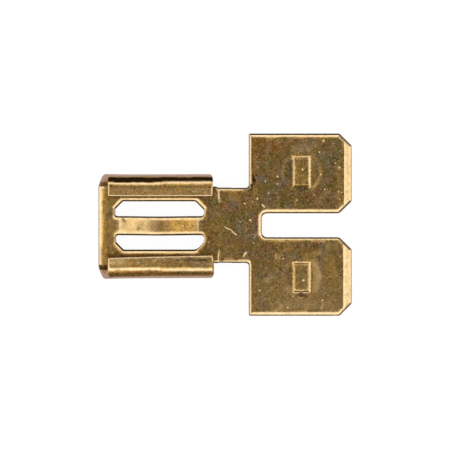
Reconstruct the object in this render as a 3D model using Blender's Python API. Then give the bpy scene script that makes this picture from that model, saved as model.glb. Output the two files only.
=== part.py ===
"""Spade terminal adapter: one sheet of brass, stamped, coined and folded.

A receptacle for one tab opens towards -X, and two male tabs point to +X, side by side.
The flat blank is drawn first, with the edges that a press tool shears, two slots and a
detent in each tab. Then it is coined at its entries, bowed along the contact bridge between
the slots, and folded up and over into the receptacle's walls and lips.

Metres, +Z up. The adapter lies on its floor, and the origin is under its middle.
"""

import math

import bmesh
import bpy
from mathutils import Matrix, Vector

# The sheet, and the edge that shearing leaves: rolled above, flared below where it broke out
SHEET = 0.0008
ROLL_WIDTH = 0.00022
ROLL_DEPTH = 0.00012
BREAKOUT_FLARE = 0.00005
BREAKOUT_HEIGHT = 0.0003
EDGE_BREAK = 0.00007

# Male tabs
TAB_WIDTH = 0.0063
TAB_LENGTH = 0.00821
TAB_GAP = 0.0019
GAP_DEPTH = 0.00714
GAP_CORNER = 0.0004
SHOULDER_CORNER = 0.00014
TIP_CHAMFER = 0.001
TIP_BEVEL_LENGTH = 0.00066
TIP_BEVEL_DEPTH = 0.0002

# Detent pressed into each tab
DETENT_FROM_TIP = 0.00402
DETENT_LENGTH = 0.00138
DETENT_WIDTH = 0.0025
DETENT_CORNER = 0.00012
DETENT_DEPTH = 0.00015
DETENT_WALL = 0.00017

# Neck between the receptacle and the tabs
NECK_LENGTH = 0.00278
NECK_STEP = 0.00015
NECK_CORNER = 0.0001
NECK_FILLET = 0.00024

# Receptacle
RECEPTACLE_LENGTH = 0.00916
TAB_PLAY = 0.00019
SOCKET_HEIGHT = 0.001
BEND_RADIUS = 0.0002
LIP_REACH = 0.00095
LIP_SETBACK = 0.00086
LIP_CORNER = 0.00014
FRONT_CORNER = 0.0003
ENTRY_LENGTH = 0.00032
ENTRY_DEPTH = 0.00014

# Slots in the floor, with the contact bridge between them
SLOT_FROM_FRONT = 0.00136
SLOT_LENGTH = 0.00706
SLOT_WIDTH = 0.00114
SLOT_CHAMFER = 0.0006
SLOT_CORNER = 0.00015
BRIDGE_WIDTH = 0.00152
BOW_FRONT_LAND = 0.0003
BOW_REAR_LAND = 0.00046
BOW_RAMP = 0.0021
BOW_HEIGHT = 0.00035

# Segments of each kind of curve
CORNER_STEPS = 4
ROLL_STEPS = 3
BEND_STEPS = 6
CROWN_STEPS = 6

# The least that an inset corner is rounded, and how near a cut takes a point as lying on it
SMALLEST_RADIUS = 0.00003
ON_THE_CUT = 1e-7

# Blender's fill takes points under 0.03 mm apart as one, so fills are made at this many times the size
FILL_SCALE = 1000

# Finish
BRASS_COLOUR = (0.42, 0.29, 0.11, 1.0)
BRASS_ROUGHNESS = 0.36

# What follows from those sizes
SOCKET_WIDTH = TAB_WIDTH + 2 * TAB_PLAY
FLOOR_HALF = SOCKET_WIDTH / 2 - BEND_RADIUS
NEUTRAL_RADIUS = BEND_RADIUS + SHEET / 2
BEND_ARC = NEUTRAL_RADIUS * math.pi / 2
WALL_FLAT = SOCKET_HEIGHT - 2 * BEND_RADIUS
LIP_FLAT = LIP_REACH - BEND_RADIUS
WALL_FOOT = FLOOR_HALF + BEND_ARC
WALL_TOP = WALL_FOOT + WALL_FLAT
LIP_ROOT = WALL_TOP + BEND_ARC
LIP_EDGE = LIP_ROOT + LIP_FLAT
NECK_HALF = FLOOR_HALF - NECK_STEP
SHOULDER = RECEPTACLE_LENGTH + NECK_LENGTH
LENGTH = SHOULDER + TAB_LENGTH
TAB_INNER = TAB_GAP / 2
TAB_OUTER = TAB_INNER + TAB_WIDTH
TAB_MIDDLE = TAB_INNER + TAB_WIDTH / 2
SLOT_INNER = BRIDGE_WIDTH / 2
SLOT_OUTER = SLOT_INNER + SLOT_WIDTH
SLOT_REAR = SLOT_FROM_FRONT + SLOT_LENGTH
BOW_FRONT = SLOT_FROM_FRONT + BOW_FRONT_LAND
BOW_REAR = SLOT_REAR - BOW_REAR_LAND
BOW_MIDDLE = (BOW_FRONT + BOW_REAR) / 2
CROWN_HALF = (BOW_REAR - BOW_FRONT) / 2 - BOW_RAMP
BOW_SLOPE = BOW_HEIGHT / (BOW_RAMP + CROWN_HALF / 2)


def steps(start, end, count):
    """Evenly spaced places from start to end, both included."""
    return [start + (end - start) * step / count for step in range(count + 1)]


def outline(corners, inset=0.0):
    """The loop through some corners (x, y, radius), with the metal on its left, moved into the metal."""
    points = []
    for before, corner, after in zip(corners[-1:] + corners[:-1], corners, corners[1:] + corners[:1]):
        arriving = (Vector(corner[:2]) - Vector(before[:2])).normalized()
        leaving = (Vector(after[:2]) - Vector(corner[:2])).normalized()
        turn = math.atan2(arriving.cross(leaving), arriving.dot(leaving))
        aside = arriving.orthogonal() + leaving.orthogonal()
        apex = Vector(corner[:2]) + aside * inset / (1 + arriving.dot(leaving))
        if not corner[2]:
            points.append(apex)
            continue
        side = math.copysign(1, turn)
        radius = max(corner[2] - side * inset, SMALLEST_RADIUS)
        start = apex - arriving * radius * math.tan(abs(turn) / 2)
        centre = start + arriving.orthogonal() * radius * side
        points += [
            centre + Matrix.Rotation(angle, 2) @ (start - centre)
            for angle in steps(0, turn, CORNER_STEPS)
        ]
    return points


def blank_corners():
    """The blank's outer edge, anticlockwise: one half from the gap round a tab to the entry, then its mirror."""
    half = [
        (LENGTH - GAP_DEPTH, TAB_INNER, GAP_CORNER),
        (LENGTH - TIP_CHAMFER, TAB_INNER, 0),
        (LENGTH, TAB_INNER + TIP_CHAMFER, 0),
        (LENGTH, TAB_OUTER - TIP_CHAMFER, 0),
        (LENGTH - TIP_CHAMFER, TAB_OUTER, 0),
        (SHOULDER, TAB_OUTER, SHOULDER_CORNER),
        (SHOULDER, NECK_HALF, NECK_FILLET),
        (RECEPTACLE_LENGTH, NECK_HALF, NECK_CORNER),
        (RECEPTACLE_LENGTH, LIP_EDGE, LIP_CORNER),
        (LIP_SETBACK, LIP_EDGE, LIP_CORNER),
        (LIP_SETBACK, WALL_TOP, FRONT_CORNER),
        (0, FLOOR_HALF, FRONT_CORNER),
    ]
    return half + [(x, -y, radius) for x, y, radius in reversed(half)]


def slot_corners(side):
    """One slot's edge, clockwise, on the side of the centreline that the sign gives."""
    corners = [
        (SLOT_FROM_FRONT, SLOT_INNER, SLOT_CORNER),
        (SLOT_FROM_FRONT, SLOT_OUTER - SLOT_CHAMFER, SLOT_CORNER),
        (SLOT_FROM_FRONT + SLOT_CHAMFER, SLOT_OUTER, SLOT_CORNER),
        (SLOT_REAR - SLOT_CHAMFER, SLOT_OUTER, SLOT_CORNER),
        (SLOT_REAR, SLOT_OUTER - SLOT_CHAMFER, SLOT_CORNER),
        (SLOT_REAR, SLOT_INNER, SLOT_CORNER),
    ]
    if side > 0:
        return corners
    return [(x, -y, radius) for x, y, radius in reversed(corners)]


def detent_corners(side):
    """The rim of one tab's detent, clockwise."""
    front = LENGTH - DETENT_FROM_TIP - DETENT_LENGTH / 2
    rear = front + DETENT_LENGTH
    low = side * TAB_MIDDLE - DETENT_WIDTH / 2
    high = low + DETENT_WIDTH
    return [(x, y, DETENT_CORNER) for x, y in ((front, low), (front, high), (rear, high), (rear, low))]


def edge_profile():
    """A sheared edge from the underside up, as (inset, height): breakout, cut land, rolled corner."""
    rolled = [
        (BREAKOUT_FLARE + ROLL_WIDTH * (1 - math.cos(angle)), SHEET - ROLL_DEPTH * (1 - math.sin(angle)))
        for angle in steps(0, math.pi / 2, ROLL_STEPS)
    ]
    return [(EDGE_BREAK, 0), (0, EDGE_BREAK), (BREAKOUT_FLARE, BREAKOUT_HEIGHT)] + rolled


def ring(bm, points, height):
    """A closed loop of edges at one height: its vertices and its edges."""
    verts = [bm.verts.new((point.x, point.y, height)) for point in points]
    edges = [bm.edges.new(pair) for pair in zip(verts, verts[1:] + verts[:1])]
    return verts, edges


def skirt(bm, loops):
    """Faces between each loop and the next one."""
    for (lower, _), (upper, _) in zip(loops, loops[1:]):
        for a, b, c, d in zip(lower, lower[1:] + lower[:1], upper[1:] + upper[:1], upper):
            bm.faces.new((a, b, c, d))


def fill_flat(bm, *rims):
    """A flat face on each set of loops, with the inner loops left open as holes."""
    bmesh.ops.scale(bm, vec=Vector((1, 1, 1)) * FILL_SCALE, verts=bm.verts)
    for rim in rims:
        bmesh.ops.triangle_fill(bm, edges=rim, use_beauty=True)
    bmesh.ops.scale(bm, vec=Vector((1, 1, 1)) / FILL_SCALE, verts=bm.verts)


def flat_blank():
    """The blank as a closed plate, with its slots cut through and its detents pressed in."""
    bm = bmesh.new()
    underside, top, detent_floors = [], [], []
    for corners in (blank_corners(), slot_corners(1), slot_corners(-1)):
        loops = [ring(bm, outline(corners, inset), height) for inset, height in edge_profile()]
        skirt(bm, loops)
        underside += loops[0][1]
        top += loops[-1][1]
    for side in (1, -1):
        rim = ring(bm, outline(detent_corners(side)), SHEET)
        floor = ring(bm, outline(detent_corners(side), -DETENT_WALL), SHEET - DETENT_DEPTH)
        skirt(bm, (rim, floor))
        top += rim[1]
        detent_floors.append(floor[1])
    fill_flat(bm, underside, top, *detent_floors)
    bmesh.ops.recalc_face_normals(bm, faces=bm.faces)
    return bm


def cut_across(bm, places, axis, end):
    """Cuts the faces that lie short of one station of the length, at each place along an axis."""
    for place in places:
        faces = [face for face in bm.faces if face.calc_center_median().x < end]
        edges = dict.fromkeys(edge for face in faces for edge in face.edges)
        verts = dict.fromkeys(vert for face in faces for vert in face.verts)
        bmesh.ops.bisect_plane(
            bm,
            geom=[*verts, *edges, *faces],
            dist=ON_THE_CUT,
            plane_co=Vector(axis) * place,
            plane_no=axis,
        )


def cut_rows(bm):
    """Rows of edges where the blank is coined, folded and bowed."""
    along, across = (1, 0, 0), (0, 1, 0)
    cut_across(bm, (ENTRY_LENGTH, RECEPTACLE_LENGTH, LENGTH - TIP_BEVEL_LENGTH), along, LENGTH)
    bends = steps(FLOOR_HALF, WALL_FOOT, BEND_STEPS) + steps(WALL_TOP, LIP_ROOT, BEND_STEPS)
    cut_across(bm, bends + [-place for place in bends], across, RECEPTACLE_LENGTH)
    crown = steps(BOW_MIDDLE - CROWN_HALF, BOW_MIDDLE + CROWN_HALF, CROWN_STEPS)
    cut_across(bm, [BOW_FRONT, *crown, BOW_REAR], along, RECEPTACLE_LENGTH)


def coined(point):
    """A point after coining: tab tips thin from both faces, the receptacle's entry from above."""
    to_tip = LENGTH - point.x
    if to_tip < TIP_BEVEL_LENGTH:
        thinned = 2 * TIP_BEVEL_DEPTH * (1 - to_tip / TIP_BEVEL_LENGTH)
        point.z = SHEET / 2 + (point.z - SHEET / 2) * (1 - thinned / SHEET)
    if point.x < ENTRY_LENGTH:
        point.z *= 1 - ENTRY_DEPTH * (1 - point.x / ENTRY_LENGTH) / SHEET
    return point


def bowed(point):
    """A point after the contact bridge is bowed up: a straight ramp from each end, and a round crown."""
    from_middle = abs(point.x - BOW_MIDDLE)
    if abs(point.y) > SLOT_INNER + SLOT_WIDTH / 2 or from_middle > BOW_RAMP + CROWN_HALF:
        return point
    if from_middle > CROWN_HALF:
        point.z += BOW_SLOPE * (BOW_RAMP + CROWN_HALF - from_middle)
    else:
        point.z += BOW_HEIGHT - BOW_SLOPE * from_middle**2 / (2 * CROWN_HALF)
    return point


def folded(point):
    """A point after folding, found by walking out along the middle of the sheet, bend by bend."""
    left = abs(point.y) - FLOOR_HALF
    if left <= 0 or point.x > SHOULDER - NECK_LENGTH / 2:
        return point
    out, up, heading = FLOOR_HALF, SHEET / 2, 0.0
    quarter = math.pi / 2
    for length, turn in ((BEND_ARC, quarter), (WALL_FLAT, 0), (BEND_ARC, quarter), (LIP_FLAT, 0)):
        run = min(left, length)
        angle = turn * run / length
        chord = 2 * NEUTRAL_RADIUS * math.sin(angle / 2) if turn else run
        out += chord * math.cos(heading + angle / 2)
        up += chord * math.sin(heading + angle / 2)
        heading += angle
        left -= run
    proud = point.z - SHEET / 2
    out -= proud * math.sin(heading)
    up += proud * math.cos(heading)
    return Vector((point.x, math.copysign(out, point.y), up))


def brass():
    """Stamped brass, a little tarnished."""
    material = bpy.data.materials.new("brass")
    material.use_nodes = True
    shader = material.node_tree.nodes["Principled BSDF"]
    shader.inputs["Base Color"].default_value = BRASS_COLOUR
    shader.inputs["Metallic"].default_value = 1.0
    shader.inputs["Roughness"].default_value = BRASS_ROUGHNESS
    material.diffuse_color = BRASS_COLOUR
    return material


def terminal_adapter():
    """The whole adapter, one folded sheet."""
    bm = flat_blank()
    cut_rows(bm)
    for vert in bm.verts:
        vert.co = folded(bowed(coined(vert.co.copy())))
        vert.co.x -= LENGTH / 2
    mesh = bpy.data.meshes.new("terminal_adapter")
    bm.to_mesh(mesh)
    bm.free()
    mesh.materials.append(brass())
    mesh.shade_smooth()
    mesh.set_sharp_from_angle(angle=math.radians(24))
    piece = bpy.data.objects.new("terminal_adapter", mesh)
    bpy.context.scene.collection.objects.link(piece)


for leftover in list(bpy.data.objects):
    bpy.data.objects.remove(leftover, do_unlink=True)
terminal_adapter()
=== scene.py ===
"""The looks of a spade terminal adapter: one sheet of brass, stamped, coined and folded.

The blank is drawn with its sheared and rolled edges, pressed, worn and painted with highlights
and shade as a mesh, and a Geometry Nodes tree then bows its contact bridge and folds its
receptacle. Metres, +Z up. The adapter lies on a white table under soft light, and the camera
looks straight down on it.
"""

import logging
import math
from dataclasses import dataclass, field
from enum import Enum
from typing import Any

import bpy
import numpy as np
from mathutils import Matrix, Vector, kdtree
from mathutils.geometry import delaunay_2d_cdt


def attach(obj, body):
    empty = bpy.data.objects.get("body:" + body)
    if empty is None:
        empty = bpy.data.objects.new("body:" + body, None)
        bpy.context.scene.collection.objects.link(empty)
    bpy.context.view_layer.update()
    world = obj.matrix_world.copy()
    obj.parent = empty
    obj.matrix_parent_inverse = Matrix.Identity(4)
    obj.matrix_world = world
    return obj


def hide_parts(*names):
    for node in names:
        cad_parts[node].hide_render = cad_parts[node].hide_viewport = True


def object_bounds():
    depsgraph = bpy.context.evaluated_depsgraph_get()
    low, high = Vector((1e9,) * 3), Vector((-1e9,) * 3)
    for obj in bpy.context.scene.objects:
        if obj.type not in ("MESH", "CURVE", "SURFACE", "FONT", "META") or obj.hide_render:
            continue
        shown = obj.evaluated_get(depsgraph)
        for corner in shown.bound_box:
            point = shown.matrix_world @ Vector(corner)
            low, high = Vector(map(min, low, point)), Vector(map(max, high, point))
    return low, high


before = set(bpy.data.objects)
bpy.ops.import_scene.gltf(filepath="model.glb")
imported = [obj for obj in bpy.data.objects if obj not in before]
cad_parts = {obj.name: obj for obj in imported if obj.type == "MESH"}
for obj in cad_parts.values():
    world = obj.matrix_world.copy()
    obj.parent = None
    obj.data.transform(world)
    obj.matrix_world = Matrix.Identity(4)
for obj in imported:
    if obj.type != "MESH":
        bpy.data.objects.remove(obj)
cad_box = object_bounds()

LOG = logging.getLogger("terminal_adapter")
NODE = "terminal_adapter"
BODY = "root"
SLOT = "brass"

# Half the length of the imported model, and half its width
HALF_LENGTH = cad_box[1].x
HALF_WIDTH = cad_box[1].y

# How finely the blank is meshed, in metres: its face, the underside of its floor, its edges, the
# lines of its bevels and of the folding tool, its scratches, and the underside where it is folded
# up, which becomes the outside of the curls: along them and round them
FACE_PITCH = 0.00009
UNDERSIDE_PITCH = 0.0002
EDGE_PITCH = 0.0001
DETAIL_PITCH = 0.0001
SCRATCH_PITCH = 0.00005
CURL_PITCH = 0.00012
CURL_FINE_PITCH = 0.00004

# The parts of the blank that curl over lie this far out and on this side of the neck
CURL_START = 0.0045
CURL_LIMIT = -0.0005

# The triangulation works in millimetres, and takes points nearer than this as one
FILL_SCALE = 1000.0
FILL_TOLERANCE = 1e-6

Array = np.ndarray
Pair = tuple[float, float]
Path = tuple[Pair, ...]
Colour = tuple[float, float, float, float]
Socket = bpy.types.NodeSocket
Value = Socket | float

WHITE: Colour = (1, 1, 1, 1)


def placed(name: str, data: bpy.types.ID) -> bpy.types.Object:
    """A new object in the scene.

    Args:
        name: Its name.
        data: Its mesh or camera.

    Returns:
        The object.
    """
    made = bpy.data.objects.new(name, data)
    bpy.context.scene.collection.objects.link(made)
    return made


def ramp(value: Array | float, start: float, end: float) -> Array:
    """A smooth step for each value: 0 up to the start and 1 from the end on, or the other way round."""
    share = np.clip((np.asarray(value) - start) / (end - start), 0.0, 1.0)
    return share * share * (3.0 - 2.0 * share)


def band(value: Array, low: float, high: float, soft: float) -> Array:
    """1 for each value from low to high, falling to 0 within a soft margin outside them."""
    return ramp(value, low - soft, low) * ramp(value, high + soft, high)


def stops(start: float, end: float, count: int) -> list[float]:
    """Evenly spaced values from the start to the end, both included, a count of steps apart."""
    return [start + (end - start) * step / count for step in range(count + 1)]


@dataclass(frozen=True)
class Corner:
    """A corner of the blank's outline, rounded by its radius."""

    x: float
    y: float
    radius: float = 0.00005


class Loop:
    """A closed edge of the blank, with the metal on its left, drawn with the same points at any inset."""

    SMALLEST_RADIUS = 0.00002
    ARC_STEPS = 4

    def __init__(self, corners: list[Corner]) -> None:
        """Spaces the points of the edge.

        Args:
            corners: Its corners in order.
        """
        self.corners = corners
        arcs = self._arcs(0.0)
        self.runs = [
            max(1, round((after[0] - arc[-1]).length / EDGE_PITCH))
            for arc, after in zip(arcs, arcs[1:] + arcs[:1])
        ]

    def _arcs(self, inset: float) -> list[list[Vector]]:
        """The rounded corners at one inset.

        Args:
            inset: How far the edge is moved into the metal.

        Returns:
            The points of each corner.
        """
        arcs = []
        ring = self.corners
        for before, corner, after in zip(ring[-1:] + ring[:-1], ring, ring[1:] + ring[:1]):
            here = Vector((corner.x, corner.y))
            arriving = (here - Vector((before.x, before.y))).normalized()
            leaving = (Vector((after.x, after.y)) - here).normalized()
            turn = math.atan2(arriving.cross(leaving), arriving.dot(leaving))
            aside = arriving.orthogonal() + leaving.orthogonal()
            apex = here + aside * inset / (1 + arriving.dot(leaving))
            side = math.copysign(1, turn)
            radius = max(corner.radius - side * inset, self.SMALLEST_RADIUS)
            start = apex - arriving * radius * math.tan(abs(turn) / 2)
            centre = start + arriving.orthogonal() * radius * side
            count = max(self.ARC_STEPS, round(corner.radius * abs(turn) / EDGE_PITCH * 2))
            arcs.append([
                centre + Matrix.Rotation(angle, 2) @ (start - centre) for angle in stops(0, turn, count)
            ])
        return arcs

    def ring(self, inset: float) -> Array:
        """The edge at one inset.

        Args:
            inset: How far it is moved into the metal.

        Returns:
            Its points, one row each.
        """
        arcs = self._arcs(inset)
        points = []
        for arc, after, run in zip(arcs, arcs[1:] + arcs[:1], self.runs):
            points += arc
            points += [arc[-1].lerp(after[0], step / run) for step in range(1, run)]
        return np.array([tuple(point) for point in points])

    def facing(self) -> Array:
        """Where the edge faces.

        Returns:
            The direction out of the metal at each point, one row each.
        """
        ring = self.ring(0.0)
        along = np.roll(ring, -1, 0) - np.roll(ring, 1, 0)
        along /= np.linalg.norm(along, axis=1, keepdims=True)
        return np.stack((along[:, 1], -along[:, 0]), 1)


@dataclass(frozen=True)
class Sheet:
    """The brass sheet, and the edge that shearing leaves on it.

    From the underside up, the edge is a small burr corner, a breakout that leans in, a clean cut
    land and a roll-over: steep at first, then a wide shoulder that shines, then a slow fade.
    """

    thickness: float = 0.0008
    burr_radius: float = 0.00005
    burr_bevel: float = 0.00007
    burr_angle: float = math.radians(15)
    breakout: float = 0.000065
    breakout_height: float = 0.0003
    steep_width: float = 0.000045
    shine_width: float = 0.00015
    fade_width: float = 0.00022
    steep_angle: float = math.radians(76)
    shine_angle: float = math.radians(23)
    fade_angle: float = math.radians(9)
    roll_steps: int = 3

    @property
    def steep_end(self) -> float:
        """How far in from the outline the steep part of the roll-over ends."""
        return self.breakout + self.steep_width

    @property
    def shine_end(self) -> float:
        """How far in the bright shoulder ends."""
        return self.steep_end + self.shine_width

    @property
    def roll_end(self) -> float:
        """How far in the face is flat."""
        return self.shine_end + self.fade_width

    def profile(self) -> list[Pair]:
        """The edge's section.

        Returns:
            (inset, height) from the underside to the face.
        """
        rolled = [(self.roll_end, self.thickness)]
        angle = 0.0
        for width, steepest in (
            (self.fade_width, self.fade_angle),
            (self.shine_width, self.shine_angle),
            (self.steep_width, self.steep_angle),
        ):
            for step in range(self.roll_steps):
                tilt = angle + (steepest - angle) * (step + 0.5) / self.roll_steps
                inset, height = rolled[-1]
                run = width / self.roll_steps
                rolled.append((inset - run, height - run * math.tan(tilt)))
            angle = steepest
        rise = self.burr_bevel * math.tan(self.burr_angle)
        burr = [
            (self.burr_radius * (1 - math.sin(turn)), rise + self.burr_radius * (1 - math.cos(turn)))
            for turn in stops(self.burr_angle, math.pi / 2, 3)
        ]
        flat = burr[0][0] + self.burr_bevel
        burr = [(flat, 0.0), (flat - self.burr_bevel / 2, rise / 2)] + burr
        land = rolled[-1][1]
        cut = [
            (self.breakout * 0.5, (self.burr_radius + self.breakout_height) / 2),
            (self.breakout, self.breakout_height),
            (self.breakout, (self.breakout_height + land) / 2),
        ]
        return burr + cut + rolled[::-1]


SHEET = Sheet()


class FinishLayer(Enum):
    """The layers of the finish, by the names of their mesh attributes. Besides tarnish, stains, grime and
    rubbed metal, they carry painted highlights, painted shade and painted reflections.
    """

    BURNISH_AND_HIGHLIGHT = "burnished"
    GOLDEN = "golden"
    AMBER = "amber"
    GREY = "grey"
    COPPERY = "coppery"
    DIRT_AND_SHADE = "dirty"


@dataclass
class Relief:
    """Every point of the flat blank while it is pressed and worn.

    The arrays hold each point's place, whether it belongs to the face or to the rolled part of an
    edge, its distance from the nearest edge and where that edge faces, and how much of each layer
    of the finish it has, from 0 to 1. Whatever looks up in the end is the side that is seen: the
    face, but the back of the curls.
    """

    x: Array
    y: Array
    z: Array
    face: Array
    edge: Array
    facing: Array
    seen: Array = field(init=False)
    layers: dict[FinishLayer, Array] = field(init=False)

    def __post_init__(self) -> None:
        """Finds the side that is seen, and starts every point with the plain tarnished finish."""
        curled = (np.abs(self.y) > CURL_START) & (self.x < CURL_LIMIT)
        self.seen = np.where(curled, 1 - self.face, self.face)
        self.layers = {layer: np.zeros(len(self.x)) for layer in FinishLayer}

    def sink(self, depth: Array) -> None:
        """Sinks the side that is seen, by a depth at each point."""
        self.z -= depth * self.seen * (2 * self.face - 1)

    def add_layers(self, amount: Array, **shares: float) -> None:
        """Raises layers of the finish, each to at least its share of an amount at each point."""
        for name, share in shares.items():
            self.layers[FinishLayer(name)] = np.maximum(self.layers[FinishLayer(name)], amount * share)

    def clear(self, amount: Array, **shares: float) -> None:
        """Takes layers of the finish away, each by its share of an amount from 0 to 1 at each point."""
        for name, share in shares.items():
            self.layers[FinishLayer(name)] *= 1 - amount * share

    def near(self, x: float, y: float, radius: float) -> Array:
        """A soft round spot: 1 at its middle, and 0 from its radius on."""
        return ramp(np.hypot(self.x - x, self.y - y), radius, 0.0)

    def along(self, path: Path, width: float) -> Array:
        """A soft line.

        Args:
            path: The places that it runs through.
            width: How far from its middle it has faded out.

        Returns:
            1 on the line to 0 at its width, at each point.
        """
        closest = np.full(len(self.x), np.inf)
        for (ax, ay), (bx, by) in zip(path, path[1:]):
            run = (bx - ax) ** 2 + (by - ay) ** 2
            share = np.clip(((self.x - ax) * (bx - ax) + (self.y - ay) * (by - ay)) / run, 0, 1)
            away = np.hypot(self.x - ax - share * (bx - ax), self.y - ay - share * (by - ay))
            closest = np.minimum(closest, away)
        return ramp(closest, width, 0.0)


def mirrored(half: list[Corner], side: int) -> list[Corner]:
    """The corners drawn for the upper side, or for side -1 their mirror images on the lower side."""
    mirror = [Corner(corner.x, -corner.y, corner.radius) for corner in reversed(half)]
    return half if side > 0 else mirror


@dataclass(frozen=True)
class Tabs:
    """The two male tabs side by side, each with bevelled and chamfered tip and a detent.

    Here and below, side is 1 for the upper half of the adapter, towards +Y, and -1 for the lower.
    """

    width: float = 0.0063
    length: float = 0.00819
    gap: float = 0.0019
    gap_offset: float = -0.00005
    gap_depth: float = 0.00714
    gap_corner: float = 0.0004
    shoulder_corner: float = 0.00013
    chamfer: float = 0.00097
    chamfer_rounds: Pair = (0.0005, 0.00018)
    bevel_lengths: Pair = (0.00061, 0.00068)
    bevel_depth: float = 0.0002
    bevel_margin: float = 0.0007
    detent_from_tip: float = 0.00401
    detent_length: float = 0.00138
    detent_width: float = 0.00239
    detent_outward: float = 0.00009
    detent_corner: float = 0.00008
    detent_wall: float = 0.00016
    detent_depth: float = 0.0001
    dish_radius: float = 0.00168
    dish_depth: float = 0.00002

    @property
    def shoulder(self) -> float:
        """Where the tabs leave the neck, along the adapter."""
        return HALF_LENGTH - self.length

    @property
    def middle(self) -> float:
        """How far each tab's centreline is from the adapter's."""
        return (self.gap + self.width) / 2

    def corners(self, side: int) -> list[Corner]:
        """One tab's share of the outline.

        Args:
            side: 1 for the upper tab, -1 for the lower.

        Returns:
            The corners, on the upper side from the gap to the shoulder.
        """
        inner = side * self.gap_offset + self.gap / 2
        inner_round, outer_round = self.chamfer_rounds
        return mirrored([
            Corner(HALF_LENGTH - self.gap_depth, inner, self.gap_corner),
            Corner(HALF_LENGTH - self.chamfer, inner, inner_round),
            Corner(HALF_LENGTH, inner + self.chamfer, outer_round),
            Corner(HALF_LENGTH, HALF_WIDTH - self.chamfer, outer_round),
            Corner(HALF_LENGTH - self.chamfer, HALF_WIDTH, outer_round),
            Corner(self.shoulder, HALF_WIDTH, self.shoulder_corner),
        ], side)

    def detent(self, side: int, inset: float) -> Array:
        """A level line of one tab's detent.

        Args:
            side: 1 for the upper tab, -1 for the lower.
            inset: How far inside the detent's rim the line is.

        Returns:
            Its points, one row each, clockwise.
        """
        middle = HALF_LENGTH - self.detent_from_tip
        reach = self.detent_length / 2
        low = side * (self.middle + self.detent_outward) - self.detent_width / 2
        high = low + self.detent_width
        near, far = middle - reach, middle + reach
        places = ((near, low), (near, high), (far, high), (far, low))
        return Loop([Corner(x, y, self.detent_corner) for x, y in places]).ring(-inset)

    def creases(self) -> list[Array]:
        """The rim and the wall of each detent, which the mesh follows."""
        insets = stops(0.0, self.detent_wall, 4)
        return [self.detent(side, inset) for side in (1, -1) for inset in insets]

    def details(self) -> list[Array]:
        """What the mesh of the tips follows.

        Returns:
            Points along the line where each tip's bevel begins.
        """
        lines = []
        for side, bevel in zip((1, -1), self.bevel_lengths):
            reach = self.width / 2 - self.bevel_margin
            for aside in (-0.00006, -0.00002, 0.00002):
                across = np.arange(side * self.middle - reach, side * self.middle + reach, DETAIL_PITCH)
                lines.append(np.stack((np.full(len(across), HALF_LENGTH - bevel + aside), across), 1))
        return lines

    def press(self, relief: Relief) -> None:
        """Coins the tips and presses in the detents, with the shallow dish that each leaves round it.

        Args:
            relief: The blank.
        """
        to_tip = HALF_LENGTH - relief.x
        bevel = np.where(relief.y > 0, *self.bevel_lengths)
        thinned = 2 * self.bevel_depth * np.clip(1 - to_tip / bevel, 0, 1)
        middle = SHEET.thickness / 2
        relief.z = middle + (relief.z - middle) * (1 - thinned / SHEET.thickness)
        coined = relief.face * ramp(to_tip, bevel + 0.00002, bevel)
        # The coined bevels are golden, with a painted highlight, partly rubbed metal, along the line where
        # each bevel begins, and a dark line just behind it
        relief.add_layers(coined, golden=1, burnished=0.6)
        relief.add_layers(coined * band(to_tip, bevel - 0.0001, bevel, 0.00003), burnished=1)
        relief.add_layers(relief.face * band(to_tip, bevel + 0.00004, bevel + 0.00009, 0.00003), dirty=0.4)
        for side in (1, -1):
            self._press_detent(relief, side)

    def _press_detent(self, relief: Relief, side: int) -> None:
        """Presses one detent, paints highlights, partly rubbed metal, on its walls, rim, foot and dish, and
        leaves grime beside it.

        Args:
            relief: The blank.
            side: 1 for the upper tab, -1 for the lower.
        """
        face = relief.face
        along = relief.x - (HALF_LENGTH - self.detent_from_tip)
        across = relief.y - side * (self.middle + self.detent_outward)
        half_long, half_wide = self.detent_length / 2, self.detent_width / 2
        inside = np.minimum(half_long - np.abs(along), half_wide - np.abs(across))
        outside = ramp(inside, -0.00002, -0.0001)
        away = np.hypot(along, across)
        relief.z -= face * self.detent_depth * np.clip(inside / self.detent_wall, 0, 1)
        relief.z -= face * self.dish_depth * ramp(away, self.dish_radius, self.dish_radius * 0.8)
        relief.add_layers(face * ramp(inside, self.detent_wall, self.detent_wall + 0.0001), golden=0.35)
        # Painted highlights, partly rubbed metal: the walls are bright, the one towards the tip brighter, and
        # the rim, the foot of the walls and the lower detent's outer slope are golden
        ahead = np.sign(along)
        wall = face * band(inside, 0.00003 - 0.00003 * ahead, 0.00011 - 0.00001 * ahead, 0.00003)
        wall *= ramp(np.abs(along), half_long - 0.00021, half_long - 0.00015)
        relief.add_layers(wall * (0.62 + 0.15 * ahead) * (0.9 + 0.1 * side), burnished=1)
        relief.add_layers(wall, golden=1)
        rim = face * band(inside, -0.00007 - 0.00003 * side, 0.00004 + 0.00001 * side, 0.00003)
        rim *= ramp(across, half_wide - 0.0003, half_wide - 0.0001)
        relief.add_layers(rim, golden=1, burnished=0.4 - 0.1 * side)
        from_foot = across + half_wide - self.detent_wall + 0.00001 + 0.00005 * side
        foot = face * band(from_foot, 0.0, 0.0001, 0.00004) * ramp(inside, 0.0, 0.00004)
        relief.add_layers(foot, golden=0.5 + 0.3 * side)
        slope = face * band(across, -half_wide, 0.00016 - half_wide, 0.00004) * ramp(inside, 0.0, 0.00002)
        relief.add_layers(slope, golden=0.4 - 0.4 * side, burnished=0.15 - 0.15 * side)
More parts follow.
